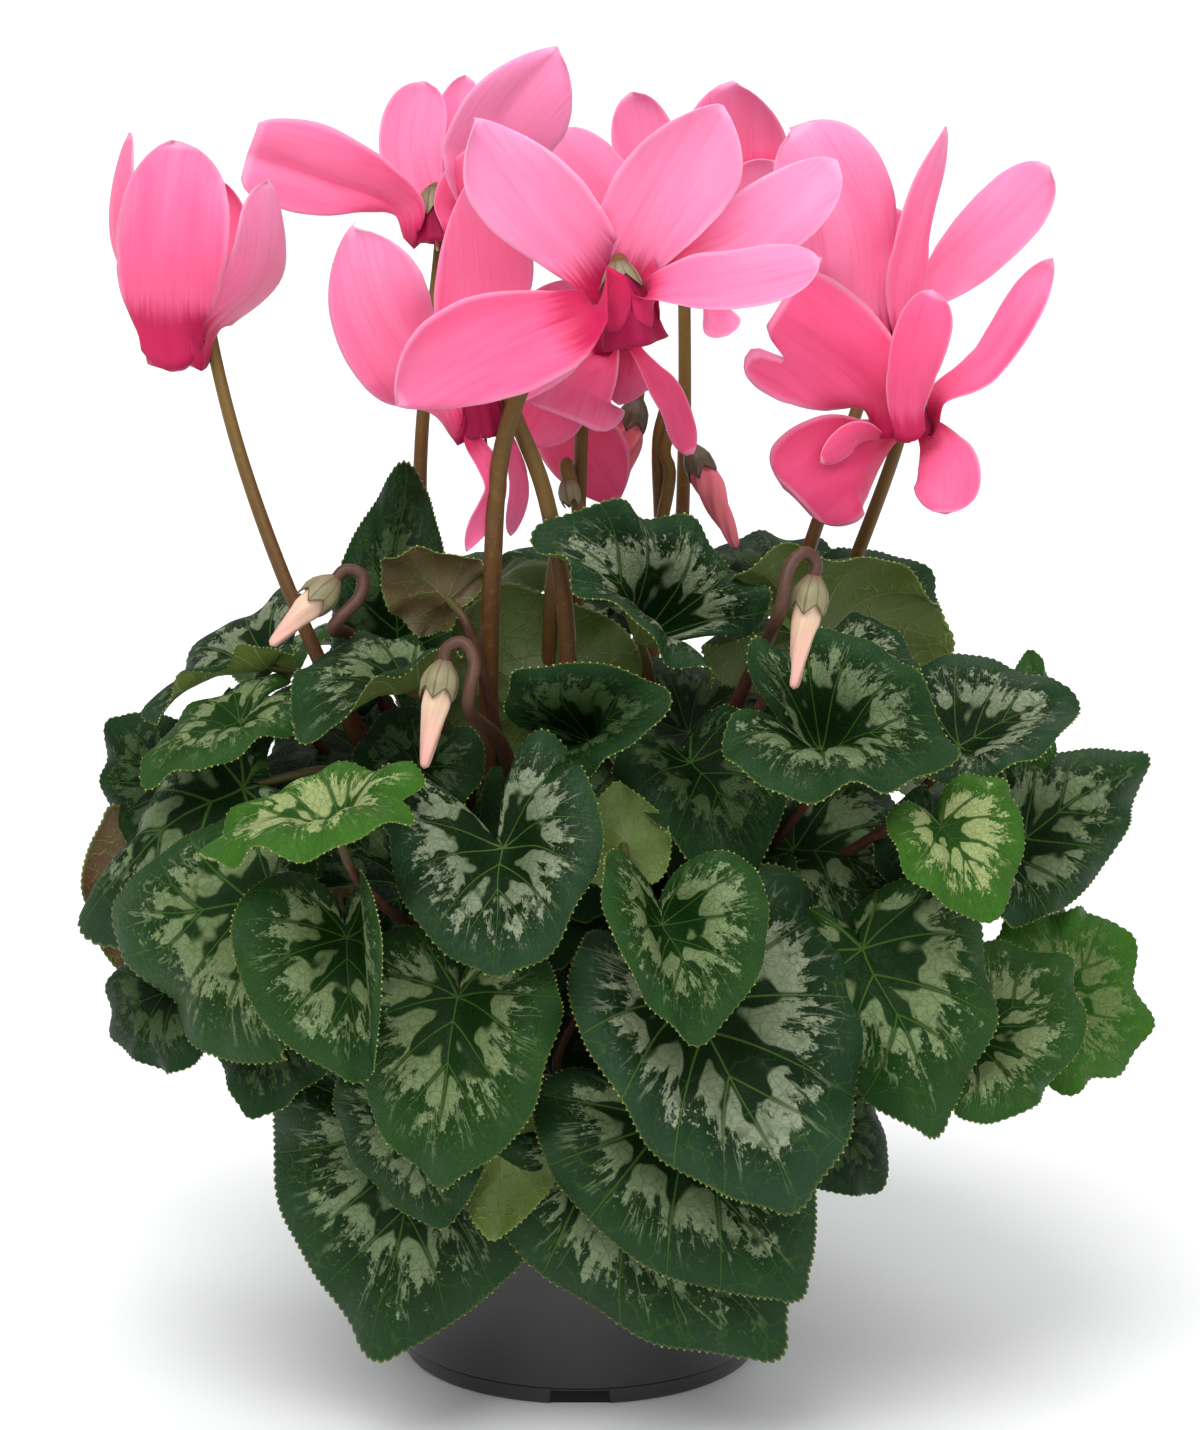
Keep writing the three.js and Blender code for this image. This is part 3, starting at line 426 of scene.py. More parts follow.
# Leaves
leafShape = {
    "toothPitch": 0.44, "leastTeeth": 44, "mostTeeth": 150, "toothDepth": 0.014, "thickness": 0.8,
    "rimThickness": 0.3, "puff": 0.036, "dish": 0.15, "curl": 0.12, "ripple": 0.052, "wave": 0.026,
    "outline": [(0, 1.0), (4, 0.985), (10, 0.93), (25, 0.87), (45, 0.83), (70, 0.82), (95, 0.82), (120, 0.82),
                (140, 0.79), (155, 0.68), (168, 0.42), (180, 0.1)],
    "rings": [0.08, 0.17, 0.26, 0.36, 0.46, 0.56, 0.66, 0.75], "outerRings": [0.83, 0.9],
    "rimRings": [0.95, 0.98, 1.0],
    "bead": 0.32, "leastBead": 0.5,
    "veins": [(0.34, 40, -0.25), (0.13, 54, -0.3), (0.0, 82, -0.35), (0.0, 116, -0.4), (0.0, 150, -0.3)],
}
petioleShape = {"foot": 99, "mouth": 111, "radius": 1.7, "tipRadius": 1.2, "points": 22, "sides": 8}

# Looks: silver = strength of the pale band, young = bright green, tone = lightness,
# under = 0 pale green underside .. 1 reddish brown. The low tone of the dark look is partly the blades' own
# deep green and partly painted shade for blades deep in the mound; the low tone of the dim look is painted
# shade on an underside turned into the crown.
looks = {
    "dark": (0.4, 0.0, 0.78, 0.1),
    "marbled": (0.9, 0.06, 1.0, 0.1),
    "leafy": (0.9, 0.25, 1.0, 0.1),
    "silver": (1.0, 0.0, 1.18, 0.1),
    "fresh": (0.8, 0.4, 1.05, 0.0),
    "young": (0.9, 1.0, 1.1, 0.0),
    "bright": (0.3, 1.0, 1.1, 0.0),
    "brown": (0.4, 0.2, 0.8, 0.8),
    "olive": (0.4, 0.2, 1.0, 0.12),
    # dim: its low tone is painted shade on an underside turned into the crown
    "dim": (0.4, 0.1, 0.75, 0.0),
    "red": (0.5, 0.1, 0.9, 1.0),
}


def leafAt(at, tip, face, look, **more):
    return dict(at=at, tip=tip, face=face, look=look, **more)


# Leaf nodes: where their stems stand in the tuber (radius, azimuth), then each blade from its petiole to its
# tip, where it faces (azimuth, elevation) and its look. sides fold its halves up or down in degrees, back,
# trim and shear shape the lobes, via bends the petiole and under brings it in from below and behind.
leafNodes = [
    # front, low down, hanging over the rim of the pot
    ("leaf_hanging_left", (31, -18), [
        leafAt((-42, -86, 92), (-57, -94, 31), (-8, 5), "marbled", wide=0.82, back=0.6, sides=(0, -20),
               droop=0.05, wave=0.03, via=[(-29, -59, 126)], under=(0.1, 0.35)),
        leafAt((-45, -103, 106), (-36, -108, 73), (-15, 10), "marbled", wide=0.78, back=0.7,
               via=[(-27, -62, 131)], under=(0.1, 0.4))]),
    ("leaf_hanging_right", (31, 0), [
        leafAt((10, -92, 90), (56, -97, 32), (5, 0), "marbled", wide=0.62, back=0.5, wave=0.03,
               via=[(2, -66, 124)], under=(0.1, 0.35)),
        leafAt((22, -101, 101), (61, -108, 51), (12, 8), "marbled", wide=0.62, back=0.7, wave=0.02,
               via=[(14, -68, 127)], under=(0.1, 0.35))]),
    ("leaf_low_left", (24.5, -27), [
        leafAt((-32, -114, 138), (-37, -124, 89), (-14, 12), "leafy", wide=0.72, back=0.6, sides=(4, 4),
               via=[(-15, -52, 136)]),
        leafAt((-20, -101, 96), (-24, -107, 69), (170, -10), "fresh", wide=0.7, back=0.7,
               via=[(-16, -66, 132)], under=(-0.1, 0.35))]),
    ("leaf_low_right", (24.5, 9), [
        leafAt((30, -108, 134), (59, -124, 80), (12, 20), "silver", wide=0.76, back=0.8, sides=(18, 0),
               trim=(0.86, 1.18), ripple=0.06, via=[(16, -66, 142)])]),
    ("leaf_right_low", (31, 36), [
        leafAt((76, -98, 149), (95, -110, 98), (22, 15), "leafy", wide=0.7, back=0.4, trim=(0.75, 1.02),
               sides=(-55, 18)),
        leafAt((66, -76, 96), (83, -68, 70), (35, 5), "dark", wide=0.7, via=[(40, -54, 127)],
               under=(0.1, 0.35))]),
    ("leaf_right_edge", (31, 54), [
        leafAt((108, -84, 119), (134, -66, 137), (30, 30), "fresh", wide=0.85, via=[(52, -42, 130)],
               sides=(25, 0), jag=1.6, ripple=0.085, wave=0.05),
        leafAt((134, -44, 118), (151, -30, 141), (20, 20), "bright", wide=1, via=[(60, -34, 131)], jag=3.2,
               ripple=0.1, wave=0.06)]),
    # front, half way up
    ("leaf_front_heart", (24.5, -9), [
        leafAt((-20, -114, 180), (-22, -136, 148), (-8, 30), "silver", wide=0.95, back=(0.8, 1.3),
               shear=(-0.6, -0.15), sides=(14, 22), droop=0.1, dish=0.16, blunt=0.9)]),
    ("leaf_front_cupped", (31, 18), [
        leafAt((22, -124, 163), (32, -137, 133), (12, 25), "leafy", wide=1.02, back=(0.95, 0.6),
               sides=(45, 24), droop=0.05, dish=0.26),
        leafAt((12, -101, 178), (10, -99, 195), (180, 0), "fresh", wide=0.9)]),
    ("leaf_left_cupped", (31, -36), [
        leafAt((-62, -114, 157), (-59, -122, 117), (5, 15), "leafy", wide=0.9, back=0.7, sides=(5, 75),
               via=[(-38, -64, 138)], dish=0.2)]),
    ("leaf_left_low", (31, -54), [
        leafAt((-83, -100, 162), (-128, -66, 150), (-35, 5), "leafy", wide=0.9, back=0.4, sides=(-35, 5),
               trim=(0.78, 1.04), via=[(-58, -58, 146)]),
        leafAt((-80, -95, 128), (-89, -101, 102), (-25, 15), "dark", wide=0.85)]),
    ("leaf_left_young", (24.5, -45), [
        leafAt((-64, -124, 190), (-102, -114, 178), (0, 80), "young", wide=0.78, back=1, sides=(25, 5),
               trim=(0.65, 1), under=(0.35, 0))]),
    ("leaf_left_broad", (24.5, -63), [
        leafAt((-91, -63, 185), (-140, -44, 137), (-40, 35), "marbled", wide=0.62, back=0.2,
               sides=(-15, -40), droop=0.08, ripple=0.05)]),
    ("leaf_left_edge", (31, -72), [
        leafAt((-122, -24, 140), (-133, -20, 168), (180, -10), "red", wide=0.75, via=[(-60, -20, 128)],
               under=(-0.1, 0.35)),
        leafAt((-117, -20, 173), (-134, -4, 189), (-40, 30), "dark", wide=0.8),
        leafAt((-111, -72, 130), (-131, -57, 112), (-35, 20), "dark", wide=0.9, back=0.6)]),
    ("leaf_left_upper", (31, -90), [
        leafAt((-87, -38, 213), (-122, -24, 193), (-30, 60), "silver", wide=0.75, back=0.5, sides=(0, 65),
               trim=(1.1, 0.5)),
        leafAt((-93, -56, 201), (-119, -70, 188), (-10, 65), "fresh", wide=0.75, sides=(-15, 15),
               via=[(-60, -20, 168)], under=(0.15, 0.35))]),
    ("leaf_right_young", (24.5, 45), [
        leafAt((97, -104, 183), (110, -114, 160), (25, 25), "young", wide=0.95, back=0.6, sides=(20, 10)),
        leafAt((93, -72, 171), (112, -76, 152), (20, 50), "dark", wide=0.8, back=0.7)]),
    ("leaf_right_outer", (24.5, 81), [
        leafAt((120, -42, 162), (159, -14, 179), (25, 35), "marbled", wide=0.55, back=0.6),
        leafAt((126, -26, 193), (127, -18, 213), (20, 15), "fresh", wide=0.5)]),
    ("leaf_right_upper", (24.5, 63), [
        leafAt((105, -66, 197), (138, -54, 208), (15, 48), "silver", wide=0.9, back=0.8, sides=(40, 0))]),
    # crown of the mound
    ("leaf_right_wavy", (17.5, 60), [
        leafAt((64, -98, 203), (101, -106, 198), (5, 50), "marbled", wide=1.05, back=0.9, lift=0.6,
               sides=(20, 40), trim=(1, 0.78), wave=0.06, under=(0.35, 0), dish=0.36, ripple=0.075),
        leafAt((72, -66, 221), (92, -74, 211), (15, 45), "silver", wide=0.9, back=0.5)]),
    ("leaf_middle_tall", (24.5, 27), [
        leafAt((30, -76, 195), (46, -99, 168), (25, 25), "dark", wide=0.8, back=0.4, sides=(10, 15)),
        leafAt((46, -80, 162), (34, -84, 146), (0, 50), "dark", wide=0.8)]),
    ("leaf_middle_cupped", (17.5, 0), [
        leafAt((3, -86, 203), (30, -94, 214), (0, 35), "dark", wide=1, back=0.8, sides=(40, 60), dish=0.4,
               wave=0.05)]),
    ("leaf_crown_wavy", (9.5, 60), [
        leafAt((17, -44, 222), (-15, -40, 247), (0, 54), "silver", wide=0.95, back=0.85, lift=0.35,
               sides=(55, 40), trim=(0.9, 0.9), wave=0.07, dish=0.42, ripple=0.09)]),
    ("leaf_upper_folded", (17.5, -60), [
        leafAt((-47, -66, 213), (-76, -88, 202), (-5, 60), "marbled", wide=0.9, back=0.6, sides=(-5, 60),
               trim=(1, 0.7)),
        leafAt((-44, -62, 190), (-54, -72, 170), (-10, 45), "dark", wide=0.9)]),
    ("leaf_crown_tall", (17.5, -120), [
        leafAt((-52, -18, 213), (-48, -4, 263), (-12, 20), "dark", wide=0.45, back=0.6, sides=(20, 20))]),
    ("leaf_crown_turned", (9.5, -60), [
        leafAt((-36, -44, 233), (-54, -50, 245), (170, 10), "brown", wide=0.8, back=0.4),
        # the second blade shows its underside, painted darker as shade through the dim look
        leafAt((-14, -12, 197), (-22, -4, 230), (180, 10), "dim", wide=1.2)]),
    ("leaf_right_turned", (17.5, 90), [
        leafAt((64, -46, 225), (105, -36, 218), (175, 35), "olive", wide=0.9),
        leafAt((77, -8, 219), (101, 6, 230), (10, 40), "silver", wide=0.9)]),
    # back of the plant
    ("leaf_back_right", (31, 108), [
        leafAt((113, 20, 150), (143, 25, 115), (100, 35), "marbled", wide=0.9),
        leafAt((84, 71, 168), (109, 91, 130), (130, 35), "silver", wide=0.9)]),
    ("leaf_back_low", (31, 162), [
        leafAt((36, 99, 150), (46, 127, 108), (160, 30), "marbled", wide=0.9),
        leafAt((8, 92, 108), (10, 104, 60), (175, 10), "marbled", wide=0.9, via=[(6, 64, 129)],
               under=(0.1, 0.35))]),
    ("leaf_back_middle", (24.5, -171), [
        leafAt((-18, 103, 166), (-24, 134, 124), (190, 35), "marbled", wide=0.9),
        leafAt((-28, 60, 216), (-42, 91, 198), (205, 55), "silver", wide=0.9)]),
    ("leaf_back_left", (31, -126), [
        leafAt((-63, 90, 146), (-80, 115, 104), (215, 35), "marbled", wide=0.9),
        leafAt((-101, 47, 166), (-131, 61, 130), (245, 35), "dark", wide=0.9),
        leafAt((-70, 25, 206), (-102, 37, 190), (250, 55), "fresh", wide=0.9)]),
    ("leaf_back_crown", (17.5, 150), [
        leafAt((56, 38, 218), (68, 70, 227), (30, 70), "dark", wide=0.9, back=0.6),
        leafAt((8, 32, 216), (4, 54, 228), (0, 60), "marbled", wide=0.9)]),
]

outlineAngles, outlineReach = smoothTable(leafShape["outline"])


def leafFrame(blade):
    at, tip = np.array(blade["at"], float), np.array(blade["tip"], float)
    length = np.linalg.norm(tip - at)
    along = (tip - at) / length
    face = direction(*blade["face"])
    face = unit(face - along * face.dot(along))
    return at, along, np.cross(face, along), face, length


# Distance to the nearest main vein, in blade lengths. Each vein leaves the midrib at (start, angle)
# and bends toward the tip. leafMarks draws the same veins.
def veinGap(forward, lateral, seed):
    x = forward + 0.03 * np.sin(5 * lateral + 2 * seed)
    y = np.abs(lateral + 0.012 * np.sin(9 * forward + seed))
    gap = y + np.clip(-x, 0, 1)
    for start, angle, bend in leafShape["veins"]:
        c, d = math.cos(math.radians(angle)), math.sin(math.radians(angle))
        along = (x - start) * c + y * d
        off = y * c - (x - start) * d - bend * along ** 2
        gap = np.minimum(gap, np.maximum(np.abs(off), -along))
    return gap


# A setting may be one number, or one for the left half and one for the right.
def leftRight(blade, key, usual, lateral):
    value = blade.get(key, usual)
    low, high = value if isinstance(value, tuple) else (value, value)
    return np.where(lateral < 0, low, high)


# Points of a blade at an angle from its tip and a share of the way from the petiole to the margin
def bladePoints(blade, basis, angle, share, seed):
    at, along, across, face, length = basis
    turn = np.radians(angle)
    tooth = np.abs(np.sin((turn + np.pi) * blade["teeth"] / 2)) ** 0.7
    tooth = 1 - leafShape["toothDepth"] * (1 - tooth) * np.clip(share * 14 - 13, 0, 1)
    jag = blade.get("jag", 1)
    uneven = np.sin(2 * turn + seed) + np.sin(5 * turn + 2.3 * seed) * 0.7
    uneven = uneven + (jag - 1) * 0.4 * np.sin(9 * turn + seed)
    radius = np.interp(np.abs(angle), outlineAngles, outlineReach) * share * tooth
    radius = radius * (1 + share * 0.022 * jag * uneven)
    radius = radius * (1 - blade.get("blunt", 0) * 0.12 * np.exp(-(angle / 15) ** 2))
    forward = np.cos(turn) * radius
    lateral = np.sin(turn) * radius * blade.get("wide", 1) * leftRight(blade, "trim", 1, turn)
    behind = forward < 0
    lateral = lateral + np.where(behind, leftRight(blade, "shear", 0, turn) * -forward, 0)
    forward = np.where(behind, forward * leftRight(blade, "back", 1, turn), forward)
    plane = np.stack([forward, lateral], axis=-1)
    reach = np.hypot(forward, lateral)
    gap = veinGap(forward, lateral, seed)
    puff = leafShape["puff"] * (1 - np.exp(-(gap / 0.07) ** 2)) * np.clip(reach * 3, 0, 1) * (1 - share ** 4)
    bend = np.abs(lateral) / 0.25
    fold = np.radians(leftRight(blade, "sides", 0, lateral)) * bend / (1 + bend ** 4) ** 0.25
    height = np.abs(lateral) * np.sin(fold)
    lateral = lateral * np.cos(fold)
    ripple = np.sin(7 * turn + 1.7 * seed) + 0.6 * np.sin(11 * turn + 0.9 * seed)
    wave, dish, curl, rippled = (blade.get(key, leafShape[key]) for key in ("wave", "dish", "curl", "ripple"))
    height = height + np.where(forward > 0, -blade.get("droop", 0), blade.get("lift", 0)) * forward ** 2
    height = height + wave * share ** 2 * np.sin(3 * turn + 0.6 * seed)
    height = height + dish * (1 - np.exp(-(reach / 0.24) ** 2))
    height = height - curl * share ** 4
    height = height + rippled * ripple * share ** 3 + puff
    place = (at + along * (forward * length)[..., None] + across * (lateral * length)[..., None]
             + face * (height * length)[..., None])
    return place, plane


# One blade as a thin closed shell: upper face, underside and the rim between them. The rim has four
# steps a tooth, the rest of the blade one.
def makeBlade(name, blade, seed):
    basis = leafFrame(blade)
    teeth = int(np.clip(basis[4] / leafShape["toothPitch"] + 12, leafShape["leastTeeth"],
                        blade.get("mostTeeth", leafShape["mostTeeth"])))
    teeth -= teeth % 2
    blade["teeth"] = teeth
    rimSteps = teeth * 4
    rows = [(0.0, 1)]
    for key, steps in (("rings", teeth // 2), ("outerRings", teeth), ("rimRings", rimSteps)):
        rows += [(share, steps) for share in leafShape[key]]
    angle = np.concatenate([np.arange(steps) * 360 / steps - 180 for share, steps in rows])
    shares = np.concatenate([np.full(steps, share) for share, steps in rows])
    points, planes = bladePoints(blade, basis, angle, shares, seed)
    starts = np.cumsum([0] + [steps for share, steps in rows]).tolist()
    last, total = starts[-2:]
    triangles = [(0, 1 + k, 1 + (k + 1) % (teeth // 2)) for k in range(teeth // 2)]
    quads = []
    for (_, steps), (_, outerSteps), low, high in zip(rows[1:], rows[2:], starts[1:], starts[2:]):
        finer = outerSteps // steps
        half = finer // 2
        for k in range(steps):
            here, after = low + k, low + (k + 1) % steps
            rim = [high + (finer * k + step) % outerSteps for step in range(finer + 1)]
            if finer == 1:
                quads.append((here, *rim, after))
                continue
            triangles += [(here, rim[step], rim[step + 1]) for step in range(half)]
            triangles.append((here, rim[half], after))
            triangles += [(after, rim[step], rim[step + 1]) for step in range(half, finer)]
    thick = between(leafShape["thickness"], leafShape["rimThickness"], shares ** 3)
    half = sheetNormals(points, triangles, quads) * (thick / 2)[:, None]
    sheet = triangles + quads
    faces = sheet + [tuple(total + corner for corner in reversed(face)) for face in sheet]
    for k in range(rimSteps):
        here, after = last + k, last + (k + 1) % rimSteps
        faces.append((after, here, here + total, after + total))
    thing = newObject(name, np.concatenate([points + half, points - half]), faces)
    sideOf = [0] * len(sheet) + [1] * len(sheet) + [0] * rimSteps
    thing.data.polygons.foreach_set("material_index", sideOf)
    storeOnPoints(thing, leafPlane=np.column_stack([planes, np.full(total, seed)]), leafEdge=shares,
                  leafLook=[looks[blade["look"]]])
    thing.data.materials.append(leafTop)
    thing.data.materials.append(leafUnder)
    return thing, points[last + np.arange(2, rimSteps, 4)]


# Foot and mouth of the hole in the tuber that a stem stands in
def stemStart(root):
    foot = direction(root[1], 0) * root[0] + np.array([0, 0, petioleShape["foot"]])
    return foot, foot + np.array([0, 0, petioleShape["mouth"] - petioleShape["foot"]])


def petiolePath(root, blade):
    at, along, _, face, length = leafFrame(blade)
    below, behind = blade.get("under", (0.35, 0.25))
    foot, mouth = stemStart(root)
    arrive = at - face * below * length - along * behind * length
    controls = [mouth, *blade.get("via", []), arrive, at - face * 0.15]
    return np.concatenate([[foot], splineThrough(controls, petioleShape["points"])])


def makeLeafNode(name, root, blades, first, replaced=True):
    things, beads, stems = [], [], []
    for k, blade in enumerate(blades):
        thing, tips = makeBlade(name + "_blade" + str(k), blade, 1.7 * (first + k) + 0.4)
        things.append(thing)
        beads.append(tips)
        path = petiolePath(root if replaced else (root[0], blade["face"][0]), blade)
        share = np.linspace(0, 1, len(path))
        stems.append((path, between(petioleShape["radius"], petioleShape["tipRadius"], share), share))
    things.append(makeStems(name + "_petioles", stems, petioleSkin, petioleShape["sides"]))
    if replaced:
        rim = newObject(name + "_beads", np.concatenate(beads))
        runTree(rim, grainTree, {"Grain Radius": leafShape["bead"] * mm, "Smallest": leafShape["leastBead"],
                                 "Seed": first, "Flatness": 1.0, "Material": leafGland})
        things.append(rim)
    finishPiece(joinInto(name + "_grown", things), "leaf", *([name] if replaced else []))


# Small dark leaves deep in the mound, which fill its gaps and whose dark look is partly painted shade: a few
# placed ones, then rings round the stems. Each ring: height, radius, count, first azimuth and how far the
# blades look up.
innerBlades = [
    leafAt((58, -66, 168), (98, -82, 154), (15, 50), "marbled", wide=0.95),
    leafAt((-48, -78, 160), (-60, -94, 130), (-25, 30), "dark", wide=0.95),
    leafAt((30, -38, 194), (60, -54, 180), (20, 50), "dark", wide=0.9),
    leafAt((-62, -30, 186), (-88, -52, 172), (-35, 50), "dark", wide=0.9),
]
innerLeaves = {"rings": [(128, 60, 11, 8, 20), (152, 56, 9, 25, 35), (172, 46, 8, 0, 45)], "length": 38,
               "wide": 0.9, "root": 26, "mostTeeth": 52, "scatter": 5, "bendAt": (32, 116)}


def makeInnerLeaves(first):
    plan = innerLeaves
    for level, (height, radius, amount, start, lookUp) in enumerate(plan["rings"]):
        for k in range(amount):
            turn = start + k * 360 / amount
            reach = radius + plan["scatter"] * math.sin(2.3 * k + level)
            at = direction(turn, 0) * reach + np.array([0, 0, height + plan["scatter"] * math.sin(1.7 * k)])
            drop = direction(turn + 15 * math.sin(3.1 * k), -90 + lookUp + 12)
            above = direction(turn, 0) * plan["bendAt"][0] + np.array([0, 0, plan["bendAt"][1]])
            innerBlades.append(leafAt(at, at + drop * plan["length"], (turn, lookUp), "dark", via=[above],
                                      wide=plan["wide"], mostTeeth=plan["mostTeeth"]))
    makeLeafNode("leaves_inside", (plan["root"], 0), innerBlades, first, replaced=False)


# Leaf materials
# The outer colour is the margin zone's own green with a painted grey sheen in it.
leafColours = {
    "deep": (0.0035, 0.015, 0.0022), "outer": (0.015, 0.044, 0.015), "silver": (0.090, 0.138, 0.058),
    "silverPale": (0.215, 0.275, 0.155), "vein": (0.045, 0.105, 0.016), "youngDeep": (0.014, 0.060, 0.006),
    "youngOuter": (0.034, 0.115, 0.010), "youngSilver": (0.30, 0.38, 0.13), "rim": (0.15, 0.20, 0.038),
    "under": (0.098, 0.160, 0.024), "underRed": (0.15, 0.050, 0.030), "underVein": (0.24, 0.31, 0.09),
    "shade": (0.6, 0.7, 0.6), "underShade": (0.62, 0.66, 0.55), "gland": (0.10, 0.13, 0.03),
    "glandPale": (0.42, 0.46, 0.14),
}


# The marks shared by both faces: main veins, the dark strip beside them and the fine net.
def leafMarks():
    forward, lateral, seed = splitAxes(attribute("leafPlane", "Vector"))
    reach = calc("SQRT", add(mul(forward, forward), mul(lateral, lateral)))
    turn = calc("DEGREES", calc("ARCTAN2", lateral, forward))
    x = mulAdd(calc("SINE", mulAdd(lateral, 5.0, mul(seed, 2.0))), 0.03, forward)
    y = calc("ABSOLUTE", mulAdd(calc("SINE", mulAdd(forward, 9.0, seed)), 0.012, lateral))
    gap = add(y, most(mul(x, -1.0), 0.0))
    for start, angle, bend in leafShape["veins"]:
        c, d = math.cos(math.radians(angle)), math.sin(math.radians(angle))
        fromStart = sub(x, start)
        along = mulAdd(fromStart, c, mul(y, d))
        off = mulAdd(y, c, mulAdd(fromStart, -d, mul(mul(along, along), -bend)))
        gap = calc("MINIMUM", gap, most(calc("ABSOLUTE", off), mul(along, -1.0)))
    width = mulAdd(reach, -0.007, 0.010)
    flat = joinAxes(forward, lateral, mul(seed, 0.7))
    ragged = blend(0.06, flat, noise(flat, 14, output=1))
    branch = flip(ease(cells(ragged, 6.5), 0.006, 0.035))
    return {"seed": seed, "reach": reach, "turn": turn, "gap": gap, "flat": flat,
            "main": flip(ease(gap, mul(width, 0.35), width)),
            "halo": flip(ease(gap, width, mul(width, 3.0))),
            "fine": mul(branch, ease(reach, 0.2, 0.4)),
            "net": flip(ease(cells(ragged, 24), 0.01, 0.09))}


def leafLook():
    look = attribute("leafLook", None)
    parts = addNode("ShaderNodeSeparateColor", {0: look.outputs["Color"]}, None).outputs
    return *parts, look.outputs["Alpha"]


def makeLeafTop():
    newMaterial("leafTop")
    marks = leafMarks()
    seed, reach, turn, flat = (marks[key] for key in ("seed", "reach", "turn", "flat"))
    main, fine, net = (marks[key] for key in ("main", "fine", "net"))
    share = attribute("leafEdge")
    silver, young, tone, _ = leafLook()
    # the pale band: round blobs toward the middle between the veins, thin tendrils toward the margin
    beside = flip(ease(marks["gap"], 0.0, 0.075))
    fill = mulAdd(share, 1.15, mulAdd(beside, -0.22, noise(flat, 7.0, 1, 0.4)))
    bandIn = ease(mulAdd(young, 0.20, fill), 0.84, 0.94)
    fray = noise(joinAxes(mul(turn, 0.11), mul(reach, 5.5), seed), 1.0, 6, 0.72)
    outer = mulAdd(ease(fray, 0.38, 0.68), 0.34, mulAdd(noise(flat, 4.5), 0.5, 0.25))
    bandOut = flip(ease(share, sub(outer, 0.05), add(outer, 0.02)))
    # thin torn lines that run on toward the margin, and loose flecks
    curl = noise(joinAxes(mul(turn, 0.075), mul(reach, 1.1), add(seed, 9.0)), 1.0, 4, 0.6)
    line = flip(ease(calc("ABSOLUTE", sub(curl, 0.5)), 0.006, 0.018))
    line = mul(line, mul(bandIn, flip(ease(share, 0.74, 0.93))))
    fleck = mul(ease(noise(flat, 44), 0.64, 0.69), mul(bandIn, flip(ease(share, 0.60, 0.92))))
    band = most(mul(bandIn, bandOut), most(mul(line, 0.5), fleck))
    # green again beside the veins, along the net and in islands
    strip = mul(marks["halo"], flip(ease(share, 0.5, 0.85)))
    island = mul(ease(noise(flat, 17, 3), 0.55, 0.62), ease(share, 0.52, 0.72))
    green = most(most(mul(strip, 0.8), mul(net, 0.24)), mul(island, 0.85))
    band = mul(mul(band, flip(green)), silver, clamp=True)
    mottle = noise(flat, 30, 3)
    c = leafColours
    # darker centre to the margin zone, whose colour holds the painted sheen
    ground = blend(ease(share, 0.55, 0.98), c["deep"], c["outer"])
    ground = blend(young, ground, blend(ease(share, 0.3, 0.95), c["youngDeep"], c["youngOuter"]))
    ground = blend(mul(mottle, 0.5), ground, c["shade"], "MULTIPLY")
    pale = blend(mulAdd(mottle, 0.6, mulAdd(share, 1.5, -0.75), clamp=True), c["silver"], c["silverPale"])
    pale = blend(mul(young, 0.8), pale, c["youngSilver"])
    colour = blend(band, ground, pale)
    colour = blend(mul(main, mulAdd(reach, -0.5, 0.95)), colour, c["vein"])
    colour = blend(mul(fine, 0.25), colour, c["vein"])
    # each blade's tone sets its lightness; the low tones are partly painted shade deep in the mound
    lightness = joinAxes(calc("POWER", tone, 1.8), tone, calc("POWER", tone, 2.2))
    colour = blend(1.0, colour, lightness, "MULTIPLY")
    colour = blend(mul(ease(share, 0.982, 1.0), 0.7), colour, c["rim"])
    height = sub(mul(mottle, 0.25), add(main, mul(fine, 0.45)))
    relief = bump(mulAdd(net, -0.3, height), 0.0005, 0.7)
    return closeMaterial(colour, mulAdd(mottle, 0.2, 0.38), {"Specular IOR Level": 0.09, **relief})


def makeLeafUnder():
    newMaterial("leafUnder")
    marks = leafMarks()
    share = attribute("leafEdge")
    _, _, tone, red = leafLook()
    mottle = noise(marks["flat"], 22, 3)
    c = leafColours
    patch = mul(red, add(noise(marks["flat"], 6, 3), 0.35), clamp=True)
    colour = blend(patch, c["under"], c["underRed"])
    colour = blend(mul(mottle, 0.5), colour, c["underShade"], "MULTIPLY")
    lines = most(marks["main"], mul(marks["fine"], 0.6))
    colour = blend(mul(lines, 0.7), colour, c["underVein"])
    colour = blend(mul(marks["net"], 0.15), colour, c["underVein"])
    colour = blend(mul(ease(share, 0.96, 0.99), 0.6), colour, c["rim"])
    # the look's tone darkens the underside: painted shade on the dim blade turned into the crown
    colour = blend(1.0, colour, joinAxes(tone, tone, tone), "MULTIPLY")
    height = mulAdd(mottle, 0.2, mulAdd(marks["fine"], 0.5, marks["main"]))
    return closeMaterial(colour, mulAdd(mottle, 0.15, 0.5), bump(height, 0.0006, 0.8))


def makeGland():
    newMaterial("leafGland")
    colour = blend(noise(objectPlace(), 260), leafColours["gland"], leafColours["glandPale"])
    return closeMaterial(colour, 0.45)


# Stem colours at the foot, the middle and the top, then the speckles
stemColours = {
    "petioleSkin": [(0.035, 0.012, 0.008), (0.075, 0.026, 0.014), (0.09, 0.085, 0.022), (0.16, 0.10, 0.05)],
    "stalkSkin": [(0.05, 0.014, 0.005), (0.11, 0.042, 0.009), (0.17, 0.105, 0.022), (0.22, 0.14, 0.04)],
    "budStalkSkin": [(0.045, 0.013, 0.007), (0.075, 0.026, 0.015), (0.09, 0.04, 0.026), (0.15, 0.085, 0.055)],
}
stemShade = (0.5, 0.45, 0.4)


